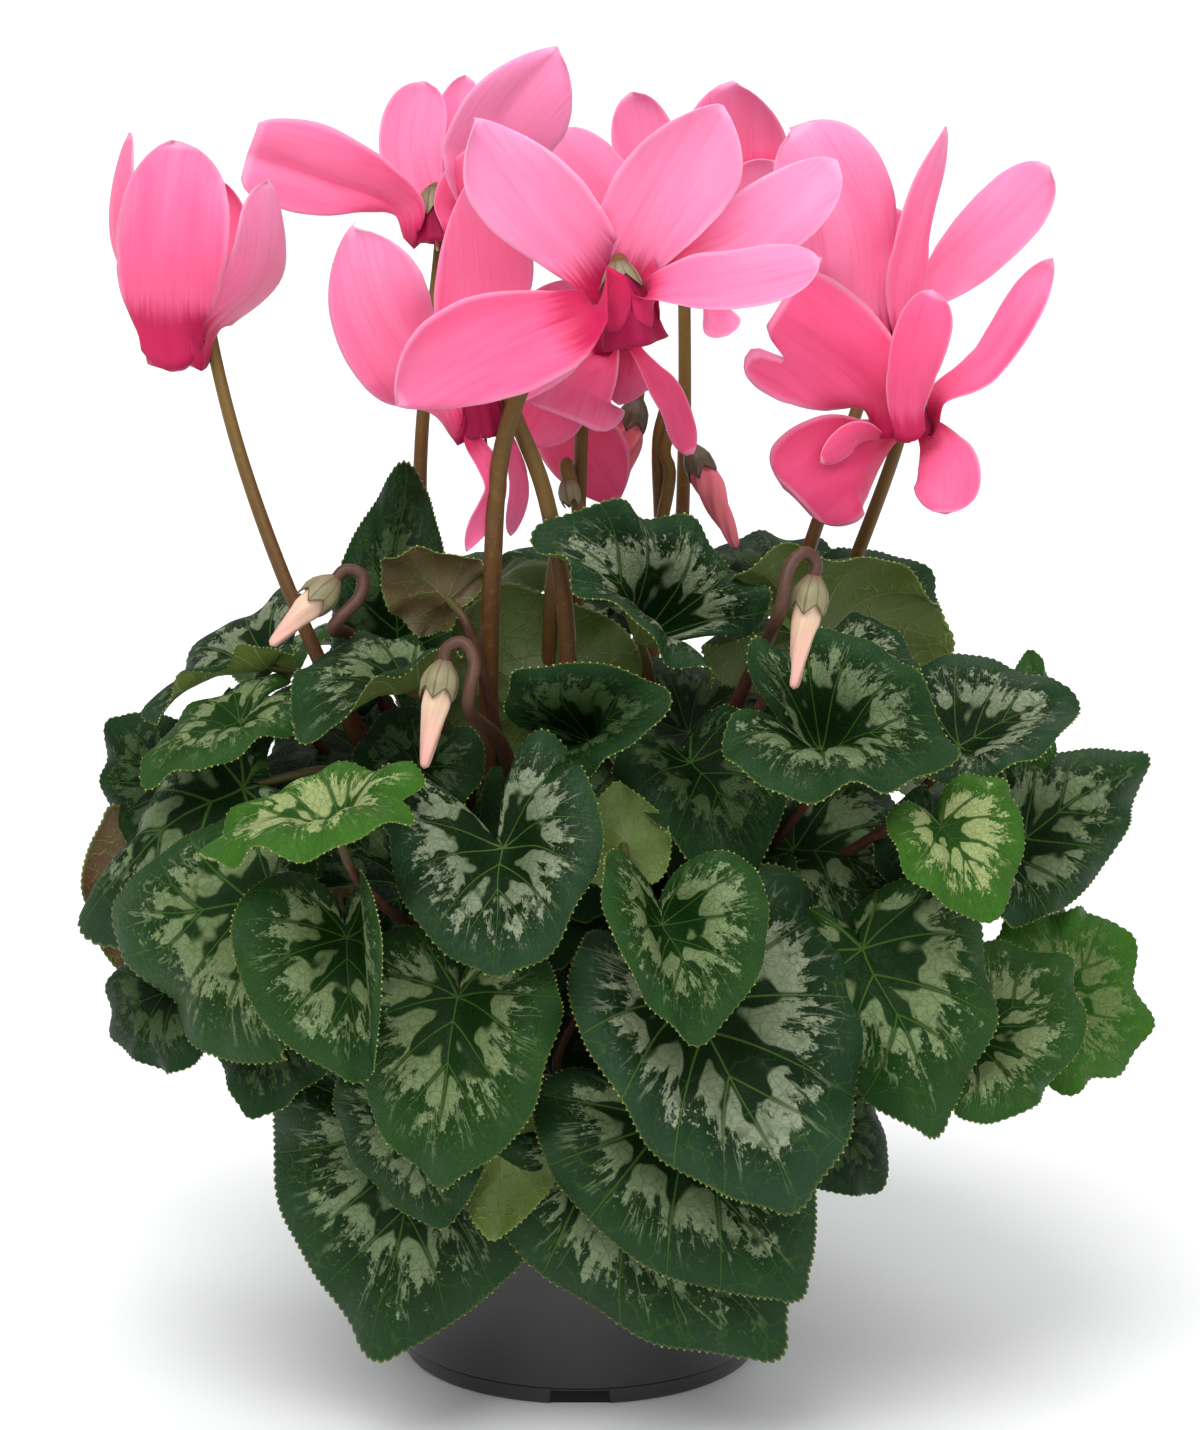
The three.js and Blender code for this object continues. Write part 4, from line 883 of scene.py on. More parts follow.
def makeStemSkin(name):
    newMaterial(name)
    foot, middle, top, speck = stemColours[name]
    shade = attribute("stemShade")
    colour = blend(ease(shade, 0.1, 0.55), foot, middle)
    colour = blend(ease(shade, 0.5, 0.9), colour, top)
    streak = noise(objectPlace(), 380, 4, 0.7)
    colour = blend(mul(ease(streak, 0.5, 0.75), 0.55), colour, speck)
    colour = blend(mul(noise(objectPlace(), 45), 0.45), colour, stemShade, "MULTIPLY")
    return closeMaterial(colour, mulAdd(streak, 0.25, 0.35),
                         {"Specular IOR Level": 0.3, **bump(streak, 0.0002, 0.6)})


# Flowers
petalShape = {
    "round": [(0, 0.30), (0.08, 0.31), (0.18, 0.36), (0.30, 0.53), (0.44, 0.78), (0.57, 0.94), (0.70, 1.0),
              (0.80, 0.97), (0.88, 0.85), (0.94, 0.65), (0.98, 0.38), (1, 0.06)],
    "pointed": [(0, 0.30), (0.08, 0.31), (0.18, 0.36), (0.30, 0.56), (0.44, 0.82), (0.57, 0.96), (0.68, 0.97),
                (0.79, 0.84), (0.88, 0.61), (0.95, 0.33), (0.985, 0.14), (1, 0.03)],
    "square": [(0, 0.30), (0.08, 0.31), (0.18, 0.36), (0.30, 0.5), (0.44, 0.72), (0.57, 0.88), (0.70, 0.98),
               (0.82, 1.0), (0.92, 0.95), (0.97, 0.86), (1, 0.72)],
    "thickness": 0.5, "rimThickness": 0.25, "hollow": 0.22, "rows": 40, "columns": 19, "throat": 5.6,
    "spiral": 14, "twist": 12, "uneven": 0.22, "ripple": 0.13, "flush": 0.16, "belly": 0.2,
}
stalkShape = {"radius": 2.5, "topRadius": 1.75, "points": 56, "sides": 12, "rise": 8.2, "lead": 7,
              "hookReach": 8}


def petalTo(root, tip, width, **more):
    return dict(root=root, tip=tip, width=width, **more)


# Flowers and buds: root is where the stalk stands in the tuber (radius, azimuth), via bends it, hook is the
# azimuth of its hook, crown and mouth are the ends of the tube. A petal leaves the mouth at the azimuth root
# for its tip, bows aside, faces (azimuth, elevation) and ends pointed (1) to square (-1). The tint is its
# pink, partly the petal's own colour and partly painted light and shade: paler where a petal turns from the
# light, darker on petals that hang low in shade. flush is how far the dark foot reaches, and what hangs
# doesn't turn up at the mouth.
flowers = [
    dict(name="flower_left", tint=1.05, foot=0.24, flush=0.31, belly=0.45, drop=2.4, root=(24.5, -81),
         via=[(-70, -46, 212), (-93, -30, 268)], hook=108, crown=(-111, -20, 313), mouth=(-111, -20, 297),
         petals=[
             petalTo(-8, (-110, -29, 358), 34, bow=(0, -7, 0), end=0.6, lean=0.1, twist=-8),
             petalTo(62, (-86, -19, 346), 33, bow=(5, 0, -4), end=0.6, foot=0.08, lean=-0.25, tint=0.5),
             petalTo(-75, (-124, -10, 358), 26, bow=(-5, 0, 0), end=0.1),
             petalTo(156, (-102, 8, 343), 26, bow=(0, 6, 0)),
             petalTo(-144, (-117, 6, 349), 26, bow=(0, 6, 0))]),
    dict(name="flower_upper_left", tint=0.4, root=(17.5, -150), via=[(-45, 15, 232)], hook=171, rise=2.4,
         crown=(-42, 30, 335), mouth=(-41, 28, 323), petals=[
             petalTo(-78, (-94, 18, 350), 27, face=(0, -20), bow=(0, 0, 1), tint=0.72, end=-0.9, lean=-0.35,
                     fold=(1, 45), ripple=0.18),
             petalTo(-165, (-45, 48, 366), 19, face=(0, 0), bow=(-4, 0, 0), end=0),
             # the palest tint paints light onto this petal, which turns away from the light
             petalTo(90, (-6, 22, 378), 36, face=(6, 6), bow=(-3, 0, 2), end=0.9, fold=(1, 42), tint=0.0),
             petalTo(148, (-33, 55, 367), 17, face=(0, 0), bow=(0, 4, 0), end=0.5),
             petalTo(45, (-15, 12, 347), 21, face=(0, 0), bow=(0, -3, 2), tint=0.9, ripple=0.05, twist=0,
                     hollow=0.1)]),
    dict(name="flower_front_left", tint=0.7, root=(9.5, 0),
         via=[(-3, -38, 196), (-4, -42, 230), (-10, -41, 264)], hook=100, thick=1.2, crown=(-28, -36, 292),
         mouth=(-26, -38, 278), petals=[
             petalTo(-90, (-61, -46, 337), 32, face=(-10, 5), bow=(-5, 0, 0), end=0.55, lean=0.4,
                     twist=-14),
             petalTo(180, (-29, -28, 348), 29, face=(0, 0), bow=(2, 2, -4), end=1, lean=-0.35, twist=6),
             petalTo(105, (0, -24, 318), 24, face=(0, 0)),
             petalTo(-30, (-31, -46, 247), 8, face=(40, 0), hang=True, bow=(7, -2, 3), end=1, tint=1.1,
                     twist=30, ripple=0, foot=0.4),
             petalTo(60, (-19, -34, 249), 6.5, face=(30, 0), hang=True, bow=(3, 0, 0), end=0.5, tint=1.0,
                     ripple=0, foot=0.4)]),
    dict(name="flower_front", tint=0.35, root=(17.5, -90),
         via=[(-25, -36, 190), (-24, -46, 240), (-20, -45, 280), (-8, -41, 305)], hook=178, rise=1.2,
         thick=1.25, flush=0.28, skirt=(1.38, 1.2), crown=(11, -46, 325), mouth=(14, -46, 309), petals=[
             petalTo(-130, (-28, -46, 366), 29, flush=0.31, face=(0, 10), bow=(2, 0, -3), end=0.9, twist=14,
                     lean=0.35, ripple=0.2),
             petalTo(165, (38, -48, 370), 32, face=(0, 0), bow=(-3, 0, -1), end=0.95, twist=-18, lean=-0.35,
                     ripple=0.2),
             petalTo(100, (70, -40, 354), 22, face=(0, 20), bow=(-2, 0, -5), end=0.3, twist=-8, lean=-0.3,
                     ripple=0.2),
             petalTo(40, (65, -62, 330), 19, face=(0, 45), bow=(0, -4, 0), end=0, twist=8, tint=0.6,
                     ripple=0.2),
             petalTo(-40, (-49, -66, 291), 32, face=(0, 10), bow=(2, -4, 5), end=0.9, lean=-0.35, tint=1.1,
                     twist=-12, ripple=0.2, neck=0.35, flush=0.33)]),
    dict(name="flower_behind", tint=0.6, root=(17.5, 120), via=[(29, 40, 224)], hook=-10,
         crown=(31, 58, 317), mouth=(32, 58, 303), petals=[
             petalTo(-90, (-8, 60, 350), 22, face=(0, 0), end=0),
             petalTo(-155, (15, 66, 361), 20, face=(0, 0), end=0.2, ripple=0.25),
             petalTo(160, (45, 54, 365), 33, face=(0, 0), bow=(5, 0, -2), end=0.6, tint=0.75, lean=0.2),
             petalTo(100, (56, 58, 342), 20, face=(0, 0)),
             petalTo(48, (43, 50, 292), 14, hang=True, end=0)]),
    dict(name="flower_middle_low", tint=1.0, root=(0, 0), via=[(-1, 0, 218)], hook=-122, crown=(7, 2, 310),
         mouth=(9, 2, 296), petals=[
             petalTo(-75, (-15, -4, 269), 20, face=(0, 0), hang=True, end=0.8),
             petalTo(-20, (-4, -12, 278), 31, face=(0, 0), hang=True, bow=(-1, -4, 2), end=-0.8, ripple=0.2,
                     tint=1.05),
             petalTo(65, (31, -2, 266), 15, face=(50, 0), hang=True, bow=(3, 0, 0), end=0.7, tint=1.4),
             petalTo(125, (11, 12, 278), 15, face=(20, 0), hang=True, bow=(0, 2, 0), end=0.9),
             petalTo(-170, (9.5, 16, 248), 26, face=(0, 0), hang=True, bow=(-10, 4, 0), end=1, lean=-0.3,
                     twist=6, tint=1.5)]),
    dict(name="flower_upper_right", tint=0.4, root=(24.5, 99), via=[(65, 10, 235)], hook=-170, rise=6,
         crown=(87, 22, 307), mouth=(89, 22, 293), petals=[
             petalTo(-70, (59, 12, 356), 35, face=(10, 0), bow=(5, 0, 2), end=0.2, lean=0.25, foot=0.3),
             petalTo(178, (91, 44, 330), 22, bow=(0, 4, 0), tint=1.2),
             petalTo(45, (103, 16, 357), 19, face=(30, 0), bow=(-3, -3, 0), end=-0.1, twist=46, tint=0.8,
                     foot=0.35, lean=0.3),
             petalTo(110, (133, 18, 345), 22, face=(-10, 15), bow=(-3, 0, -2), end=0, fold=(-1, 25)),
             petalTo(-20, (87, 12, 280), 12, hang=True, tint=1.3)]),
    dict(name="flower_right", tint=1.25, flush=0.2, root=(31, 72), via=[(75, -14, 231)], hook=180, rise=6,
         crown=(90, -32, 290), mouth=(91, -32, 278), petals=[
             petalTo(-75, (52, -38, 311), 37, face=(0, 10), bow=(1, 0, 1), end=-1, split=(0.5, 0.2, 0.13),
                     twist=4, lean=-0.2, ripple=0.2, tint=1.65),
             # the dark tints of this and the other low hanging petal are painted shade
             petalTo(-100, (66, -46, 272), 9, face=(0, -20), hang=True, bow=(0, -2, 4), end=0.4, tint=1.8,
                     foot=0.2),
             petalTo(0, (97, -46, 319), 15.5, face=(0, 0), bow=(-1, 0, 0), end=-0.1, twist=-14, tint=1.35,
                     foot=0.3),
             petalTo(75, (130, -30, 326), 12.5, face=(-30, 10), bow=(-2, 0, -9), end=0.6, twist=30,
                     tint=1.0, ripple=0.5, foot=0.3),
             petalTo(-138, (60, -42, 260), 32, face=(0, 0), hang=True, bow=(-3, -3, 1), end=-0.4,
                     ripple=0.12, lean=0.1, tint=1.95),
             petalTo(138, (101, -44, 257), 19, face=(0, 10), hang=True, bow=(3, -3, 0), end=0.2, ripple=0.2,
                     tint=1.2)]),
]
bareStalks = [
    dict(name="stalk_bare", root=(9.5, -120), via=[(-6, -6, 241)], hook=175, crown=(-3, -8, 257),
         mouth=(-2, -10, 251)),
]
buds = [
    dict(name="bud_left", root=(24.5, -99), via=[(-62, -30, 217)], hook=100, crown=(-68, -58, 240),
         mouth=(-84, -66, 225)),
    dict(name="bud_front_left", root=(17.5, -30), via=[(-20, -52, 190)], hook=80, crown=(-36, -101, 226),
         mouth=(-41, -109, 201)),
    dict(name="bud_front_right", root=(17.5, 30), via=[(46, -54, 212)], hook=-60, crown=(62, -96, 248),
         mouth=(57, -102, 221)),
    dict(name="bud_middle", root=(9.5, 180), via=[(21, 14, 232)], hook=-90, lead=1, crown=(33, 20, 262),
         mouth=(45, 14, 236), faded=1),
    dict(name="bud_behind", root=(9.5, 120), via=[(23, 20, 227)], hook=90, crown=(16, 24, 275),
         mouth=(9, 22, 246), faded=1),
]
petalAt, roundHalf = smoothTable(petalShape["round"])
pointedHalf = smoothTable(petalShape["pointed"])[1]
squareHalf = smoothTable(petalShape["square"])[1]


# Crown, mouth, the unit vector from one to the other and the distance
def flowerAxis(plan):
    crown, mouth = np.array(plan["crown"], float), np.array(plan["mouth"], float)
    length = np.linalg.norm(mouth - crown)
    return crown, mouth, (mouth - crown) / length, length


def acrossAxis(axis, azimuth):
    side = direction(azimuth, 0)
    return unit(side - axis * side.dot(axis))


def stalkPath(plan):
    crown, _, axis, _ = flowerAxis(plan)
    side = acrossAxis(axis, plan["hook"])
    rise = plan.get("rise", stalkShape["rise"])
    far, near = stalkShape["hookReach"], stalkShape["hookReach"] / 2
    beside = crown + side * (far + 0.4) + axis * plan.get("lead", stalkShape["lead"])
    shoulder = crown + side * (far - 0.2) - axis * min(4, rise)
    bend = crown + side * near - axis * rise
    top = crown - axis * rise * 0.73
    foot, mouth = stemStart(plan["root"])
    end = crown - axis * min(2, rise / 2)
    curve = splineThrough([mouth, *plan["via"], beside, shoulder, bend, top, end], 400)
    shares = 1 - (1 - np.linspace(0, 1, stalkShape["points"])) ** 2  # closer together in the hook
    return np.concatenate([[foot], alongPath(curve, shares)])


# Half widths of a petal on its left and right, row by row
def petalHalves(flower, petal, shares, lean):
    end = petal.get("end", 0.35)  # 1 for a pointed tip, -1 for a square one
    other = pointedHalf if end > 0 else squareHalf
    petalHalf = roundHalf + (other - roundHalf) * abs(end)
    broad = petal.get("foot", flower.get("foot", 0)) * np.clip(1 - shares / 0.5, 0, 1) ** 0.7
    narrow = 1 - petal.get("neck", 0) * np.exp(-(shares / 0.2) ** 2)
    return [petal["width"] / 2 * (np.interp(shares ** (1 + bias), petalAt, petalHalf) + broad) * narrow
            for bias in (lean, -lean)]


def makePetal(name, flower, petal, seed):
    p = petalShape
    _, mouth, axis, _ = flowerAxis(flower)
    radial = acrossAxis(axis, petal["root"])
    sideways = unit(np.cross(axis, radial))
    tip = np.array(petal["tip"], float)
    guide = [mouth + radial * (p["throat"] - 2) - axis * 2.5,
             mouth + radial * (p["throat"] + 1) + axis * flower.get("drop", 0.8)]
    if not petal.get("hang"):
        guide.append(mouth + radial * (p["throat"] + 2.8) - axis * 9)
    guide += [(guide[-1] + tip) / 2 + np.array(petal.get("bow", (0, 0, 0)), float), tip]
    rows, columns = p["rows"], p["columns"]
    shares = np.linspace(0, 1, rows) ** 0.9
    path = alongPath(splineThrough(guide, 200), shares)
    tangents = np.gradient(path, axis=0)
    rng = np.random.default_rng(int(seed * 100) + 7)
    lean, twist = rng.uniform(-1, 1, 2) * (p["uneven"], p["twist"])
    lean, twist = petal.get("lean", lean), petal.get("twist", twist)
    left, right = petalHalves(flower, petal, shares, lean)
    wide, full = (left + right) / 2, petal["width"] / 2
    u = np.linspace(-1, 1, columns)
    # one half may be folded along the middle, and a torn tip stops short near one place
    foldSide, foldAngle = petal.get("fold", (1, 0))
    tearAt, tearDepth, tearWidth = petal.get("split", (0, 0, 1))
    grid = np.zeros((rows, columns, 3))
    for row, share in enumerate(shares):
        tangent = unit(tangents[row])
        lateral = unit(sideways - tangent * sideways.dot(tangent))
        if "face" in petal:
            wanted = unit(np.cross(tangent, direction(*petal["face"])))
            wanted = wanted if wanted.dot(lateral) > 0 else -wanted
            lateral = unit(lateral + (wanted - lateral) * min(1, share / 0.45))
        up = np.cross(tangent, lateral)
        tilt = math.radians(p["spiral"] * max(0, 1 - share / 0.35) + twist * share ** 2)
        c, s = math.cos(tilt), math.sin(tilt)
        lateral, up = lateral * c + up * s, up * c - lateral * s
        reach = np.where(u < 0, left[row], right[row]) * u
        wave = np.sin(5.5 * share + 1.5 * np.sign(u) + seed) * np.clip(share * 2, 0, 1)
        wave = wave + 0.5 * np.sin(13 * share + 2.1 * np.sign(u) + 2 * seed) * share
        crease = -0.05 * np.exp(-(u / 0.16) ** 2) * (1 - share)
        rise = wide[row] * (petal.get("hollow", p["hollow"]) * (1 - u * u) + crease)
        rise = rise + full * petal.get("ripple", p["ripple"]) * np.abs(u) ** 2.5 * wave
        angle = math.radians(foldAngle) * min(1, share / 0.4)
        c, s = math.cos(angle), math.sin(angle)
        folded = u * foldSide > 0
        rise = np.where(folded, rise * c + np.abs(reach) * s, rise)
        reach = np.where(folded, reach * c, reach)
        stop = share * (1 - tearDepth * np.exp(-((u - tearAt) / tearWidth) ** 2) * share ** 4)
        centre = np.stack([np.interp(stop, shares, path[:, k]) for k in range(3)], axis=1)
        belly = flower.get("belly", p["belly"]) * full * max(0, 1 - share / 0.35) * u * u
        grid[row] = centre + lateral * reach[:, None] + up * rise[:, None] - axis * belly[:, None]
    down, across = shares[:, None], u[None, :]
    thick = between(p["rimThickness"], p["thickness"], (1 - across ** 4) * (1 - down ** 6))
    thing = makeShell(name, grid, thick)
    place = gridOf(across * wide[:, None] / 15, down, seed)
    edge = np.maximum(across ** 2, np.clip(down * 1.02, 0, 1) ** 10)
    storeOnPoints(thing, petalPlace=place, petalEdge=edge.ravel(),
                  petalTint=petal.get("tint", flower.get("tint", 0.5)),
                  petalFlush=petal.get("flush", flower.get("flush", p["flush"])))
    return thing


# The tube as (share of its length, radius). A skirt opens it wider and longer, with five ribs.
tubeShape = {
    "profile": [(-0.6, 1.6), (0.06, 3.4), (0.2, 4.5), (0.4, 5.1), (0.7, 5.5), (0.94, 5.9), (1.04, 6.3)],
    "ribs": 10, "ribDepth": 0.05, "skirtRibs": 5, "skirtDepth": 0.09, "thickness": 0.6, "columns": 60,
}
styleShape = [(-6, 0.55, 0), (1.5, 0.5, 0.6), (3.2, 0.35, 1)]  # past the mouth, radius, shade


def turnedGrid(crown, axis, profile, columns, ribs, ribDepth, twist=0.0):
    side = acrossAxis(axis, 20)
    other = np.cross(axis, side)
    turn = np.arange(columns) * 2 * np.pi / columns
    around = 1 + ribDepth * np.cos(ribs * turn)
    rows = []
    for reach, radius in profile:
        x, y = (radius * around * wave(turn + twist * reach) for wave in (np.cos, np.sin))
        rows.append(crown + axis * reach + x[:, None] * side + y[:, None] * other)
    return np.stack(rows)


def makeTube(name, flower):
    t = tubeShape
    crown, _, axis, length = flowerAxis(flower)
    wider, longer = flower.get("skirt", (1, 1))
    profile = [(share * length * between(1, longer, share) if share > 0 else 0.3,
                radius * between(1, wider, max(share, 0))) for share, radius in t["profile"]]
    ribs, depth = (t["skirtRibs"], t["skirtDepth"]) if wider > 1 else (t["ribs"], t["ribDepth"])
    grid = turnedGrid(crown, axis, profile, t["columns"], ribs, depth)
    thing = makeShell(name, grid, t["thickness"], closed=True)
    rows, columns = grid.shape[:2]
    place = gridOf(np.linspace(0, 3, columns), -np.linspace(0, 1, rows)[:, None], 0)
    storeOnPoints(thing, petalPlace=place, petalEdge=0, petalTint=1, petalFlush=petalShape["flush"])
    return thing


def makeFlower(flower, number):
    _, mouth, axis, _ = flowerAxis(flower)
    name = flower["name"]
    things = [makePetal(name + "_petal" + str(k), flower, petal, number * 2.1 + k * 1.3)
              for k, petal in enumerate(flower["petals"])]
    things.append(makeTube(name + "_tube", flower))
    for thing in things:
        thing.data.materials.append(petalSkin)
    past, radii, shades = np.array(styleShape, float).T
    style = [(mouth + axis * past[:, None], radii, shades)]
    things.append(makeStems(name + "_style", style, styleSkin, petioleShape["sides"]))
    finishPiece(joinInto(name + "_bloom", things), "petal", name + "_petals")
    makeStalk(flower, flowerCalyx)


calyxShape = {"start": -2.6, "thickness": 0.45, "rows": 16, "columns": 80, "points": 5}
flowerCalyx = {"radii": [1.8, 3.2, 4.2, 4.9, 5.5, 6.1], "short": 3.2, "long": 7.8}
bareCalyx = {"radii": [1.8, 2.6, 3.0, 2.9, 2.4, 1.5], "short": 5.5, "long": 7.5}
fadedCalyx = {"radii": [1.6, 3.0, 4.0, 4.2, 4.1, 4.0], "short": 6.5, "long": 9.5}
budCalyx = {"radii": [1.6, 3.4, 4.6, 5.0, 4.7, 4.3], "short": 7.6, "long": 10.8}


# One cup round the foot of the tube, its rim drawn out into five points.
def makeCalyx(plan, calyx):
    crown, _, axis, _ = flowerAxis(plan)
    rows, columns, lobes = (calyxShape[key] for key in ("rows", "columns", "points"))
    turn = np.arange(columns) * 2 * np.pi / columns
    lobe = 1 - np.abs(2 * ((lobes * turn / (2 * np.pi)) % 1) - 1)
    side = acrossAxis(axis, 20)
    other = np.cross(axis, side)
    length = between(calyx["short"], calyx["long"], lobe ** 1.2)
    steps = np.linspace(0, 1, len(calyx["radii"]))
    shares = np.arange(rows) / (rows - 1)
    grid = np.zeros((rows, columns, 3))
    for row, share in enumerate(shares):
        reach = calyxShape["start"] + length * share
        radius = np.interp(share * length / calyx["long"], steps, calyx["radii"])
        radius = radius * (1 + 0.05 * np.cos(lobes * turn + np.pi) * share) + 0.15 * (share > 0.9)
        grid[row] = (crown + axis * reach[:, None] + side * (np.cos(turn) * radius)[:, None]
                     + other * (np.sin(turn) * radius)[:, None])
    cup = makeShell(plan["name"] + "_calyx", grid, calyxShape["thickness"], closed=True)
    storeOnPoints(cup, sepalPlace=gridOf(1 - lobe, shares[:, None], plan.get("faded", 0)))
    cup.data.materials.append(calyxSkin)
    return cup


def makeStalk(plan, calyx):
    path = stalkPath(plan)
    skin = budStalkSkin if calyx is budCalyx else stalkSkin
    share = 1 - (1 - np.linspace(0, 1, len(path))) ** 2
    radii = plan.get("thick", 1) * between(stalkShape["radius"], stalkShape["topRadius"], share)
    name = plan["name"]
    stem = makeStems(name + "_stem", [(path, radii, share)], skin, stalkShape["sides"])
    things = [stem, makeCalyx(plan, calyx)]
    node = name if name.startswith("stalk") else name + "_stalk"
    finishPiece(joinInto(name + "_stemPiece", things), "stalk", node)


# The rolled petals of a bud: reach and radius near the calyx, then share of the length and radius.
budShape = {"foot": [(1.5, 2.2), (4, 3.7), (9.3, 3.7)], "cone": [(0.5, 3.15), (0.75, 2.2), (0.93, 1.45)],
            "end": 1.0, "rows": 34, "columns": 40, "ribs": 5, "ribDepth": 0.06, "twist": 0.05,
            "fadedDepth": 0.16, "fadedTwist": 0.06}


def makeBud(bud, number):
    b = budShape
    crown, _, axis, length = flowerAxis(bud)
    at, value = smoothTable([*b["foot"], *((share * length, radius) for share, radius in b["cone"]),
                             (length - 0.4, b["end"]), (length, 0.1)], b["rows"])
    faded = bud.get("faded", 0)  # a faded flower has deeper folds
    grid = turnedGrid(crown, axis, zip(at, value), b["columns"], b["ribs"],
                      b["ribDepth"] + b["fadedDepth"] * faded, b["twist"] + b["fadedTwist"] * faded)
    thing = newObject(bud["name"] + "_cone", grid.reshape(-1, 3), cappedFaces(b["rows"], b["columns"]))
    along = ((at - at[0]) / (at[-1] - at[0]))[:, None]
    storeOnPoints(thing, budPlace=gridOf(np.arange(b["columns"]) / b["columns"], along, number + 100 * faded))
    thing.data.materials.append(budSkin)
    finishPiece(thing, "bud", bud["name"] + "_petals")
    makeStalk(bud, fadedCalyx if faded else budCalyx)


# Flower materials
petalColours = {
    "light": (0.95, 0.31, 0.53), "body": (0.93, 0.125, 0.29), "strong": (0.60, 0.035, 0.12),
    "edge": (0.97, 0.46, 0.63), "deep": (0.53, 0.012, 0.085), "throat": (0.30, 0.002, 0.05),
}
calyxColours = {"pale": (0.27, 0.245, 0.125), "grain": (0.155, 0.14, 0.06), "foot": (0.15, 0.085, 0.05),
                "line": (0.10, 0.035, 0.035), "faded": (0.045, 0.035, 0.02)}
budColours = {"foot": (0.74, 0.53, 0.36), "tip": (0.80, 0.44, 0.37), "faded": (0.86, 0.22, 0.27),
              "line": (0.72, 0.24, 0.22)}
styleColours = {"foot": (0.55, 0.12, 0.20), "tip": (0.75, 0.60, 0.30)}


# The tint goes from pale (0) over full pink (1) to dark rose (2), partly the petal's own pink and partly
# painted light and shade. Every petal darkens toward its foot.
def makePetalSkin():
    newMaterial("petalSkin")
    across, along, seed = splitAxes(attribute("petalPlace", "Vector"))
    fineLines = noise(joinAxes(mul(across, 16.0), mul(along, 1.6), seed), 1.0, 4, 0.55)
    broad = noise(joinAxes(mul(across, 2.5), mul(along, 2.0), seed), 1.0)
    c = petalColours
    strength = add(attribute("petalTint"), mulAdd(broad, -0.8, 0.4))
    strength = add(strength, mulAdd(along, -0.8, 0.42))
    colour = blend(add(strength, 0.0, clamp=True), c["light"], c["body"])
    colour = blend(sub(strength, 1.0, clamp=True), colour, c["strong"])
    colour = blend(mul(ease(fineLines, 0.48, 0.8), 0.22), colour, c["deep"])
    colour = blend(mul(ease(attribute("petalEdge"), 0.75, 1.0), 0.45), colour, c["edge"])
    reach = attribute("petalFlush")
    fromFoot = mulAdd(broad, -0.12, mulAdd(fineLines, -0.14, along))
    flush = flip(ease(add(fromFoot, 0.08), sub(reach, 0.1), add(reach, 0.05)))
    colour = blend(flush, colour, c["deep"])
    throat = flip(ease(mulAdd(fineLines, -0.06, along), 0.0, 0.10))
    return closeMaterial(blend(throat, colour, c["throat"]), mulAdd(fineLines, 0.2, 0.45), {
        "Specular IOR Level": 0.2, "Subsurface Weight": 0.35, "Subsurface Radius": (1.0, 0.35, 0.45),
        "Subsurface Scale": 0.002, "Sheen Weight": 0.05, **bump(fineLines, 0.0002, 0.4)})


def makeCalyxSkin():
    newMaterial("calyxSkin")
    across, along, faded = splitAxes(attribute("sepalPlace", "Vector"))
    grain = noise(objectPlace(), 420, 3, 0.6)
    c = calyxColours
    colour = blend(mul(grain, 0.6), c["pale"], c["grain"])
    colour = blend(mul(flip(ease(along, 0.0, 0.45)), 0.7), colour, c["foot"])
    middle = mul(flip(ease(across, 0.03, 0.16)), 0.8)
    seam, rim = mul(ease(across, 0.86, 0.98), 0.6), mul(ease(along, 0.92, 1.0), 0.8)
    colour = blend(mul(most(middle, most(seam, rim)), 0.85), colour, c["line"])
    colour = blend(mul(faded, 0.7), colour, c["faded"])
    return closeMaterial(colour, 0.5, bump(grain, 0.0002, 0.5))


def makeBudSkin():
    newMaterial("budSkin")
    across, along, age = splitAxes(attribute("budPlace", "Vector"))
    lines = noise(joinAxes(mul(across, 30.0), mul(along, 3.0), age), 1.0, 4, 0.6)
    c = budColours
    colour = blend(ease(along, 0.15, 0.9), c["foot"], c["tip"])
    colour = blend(calc("GREATER_THAN", age, 50.0), colour, c["faded"])
    colour = blend(mul(ease(lines, 0.5, 0.8), 0.5), colour, c["line"])
    return closeMaterial(colour, mulAdd(lines, 0.2, 0.4), {
        "Subsurface Weight": 0.2, "Subsurface Scale": 0.002, **bump(lines, 0.0003, 0.6)})


def makeStyleSkin():
    newMaterial("styleSkin")
    colour = blend(ease(attribute("stemShade"), 0.6, 1.0), styleColours["foot"], styleColours["tip"])
    return closeMaterial(colour, mulAdd(noise(objectPlace(), 900), 0.2, 0.35))


# Pot, soil and tuber
potShape = {
    "footRadius": 52, "rimRadius": 71, "height": 115, "wall": 2, "band": 12, "columns": 144, "floor": 4.5,
    "channel": 2.4, "notches": 3, "notchWidth": 17.5, "notchHeight": 4.5, "notchDepth": 2.4, "notchFront": 8,
    "holes": 6, "holeRadius": 4, "holeCircle": 39, "holeSides": 20, "sharpFrom": 32,
}
# below is painted shade for the underside, the inside of the foot ring and the notch recesses
potColours = {"dark": (0.018, 0.0175, 0.018), "scuffed": (0.030, 0.029, 0.030), "fine": (0.10, 0.10, 0.10),
              "seam": (0.09, 0.09, 0.09), "below": (0.001, 0.001, 0.001)}


def wallAt(height):
    foot = potShape["footRadius"]
    return foot + 1 + (potShape["rimRadius"] - 4 - foot) * height / potShape["height"]


def cutOut(thing, cutters):
    for cutter in cutters:
        modifier = thing.modifiers.new("cut", "BOOLEAN")
        modifier.operation = "DIFFERENCE"
        modifier.solver = "EXACT"
        modifier.object = cutter
    keepResult(thing)
    for cutter in cutters:
        bpy.data.objects.remove(cutter)


def turnedBy(points, angle):
    c, s = math.cos(angle), math.sin(angle)
    return np.array([(x * c - y * s, x * s + y * c, z) for x, y, z in points])


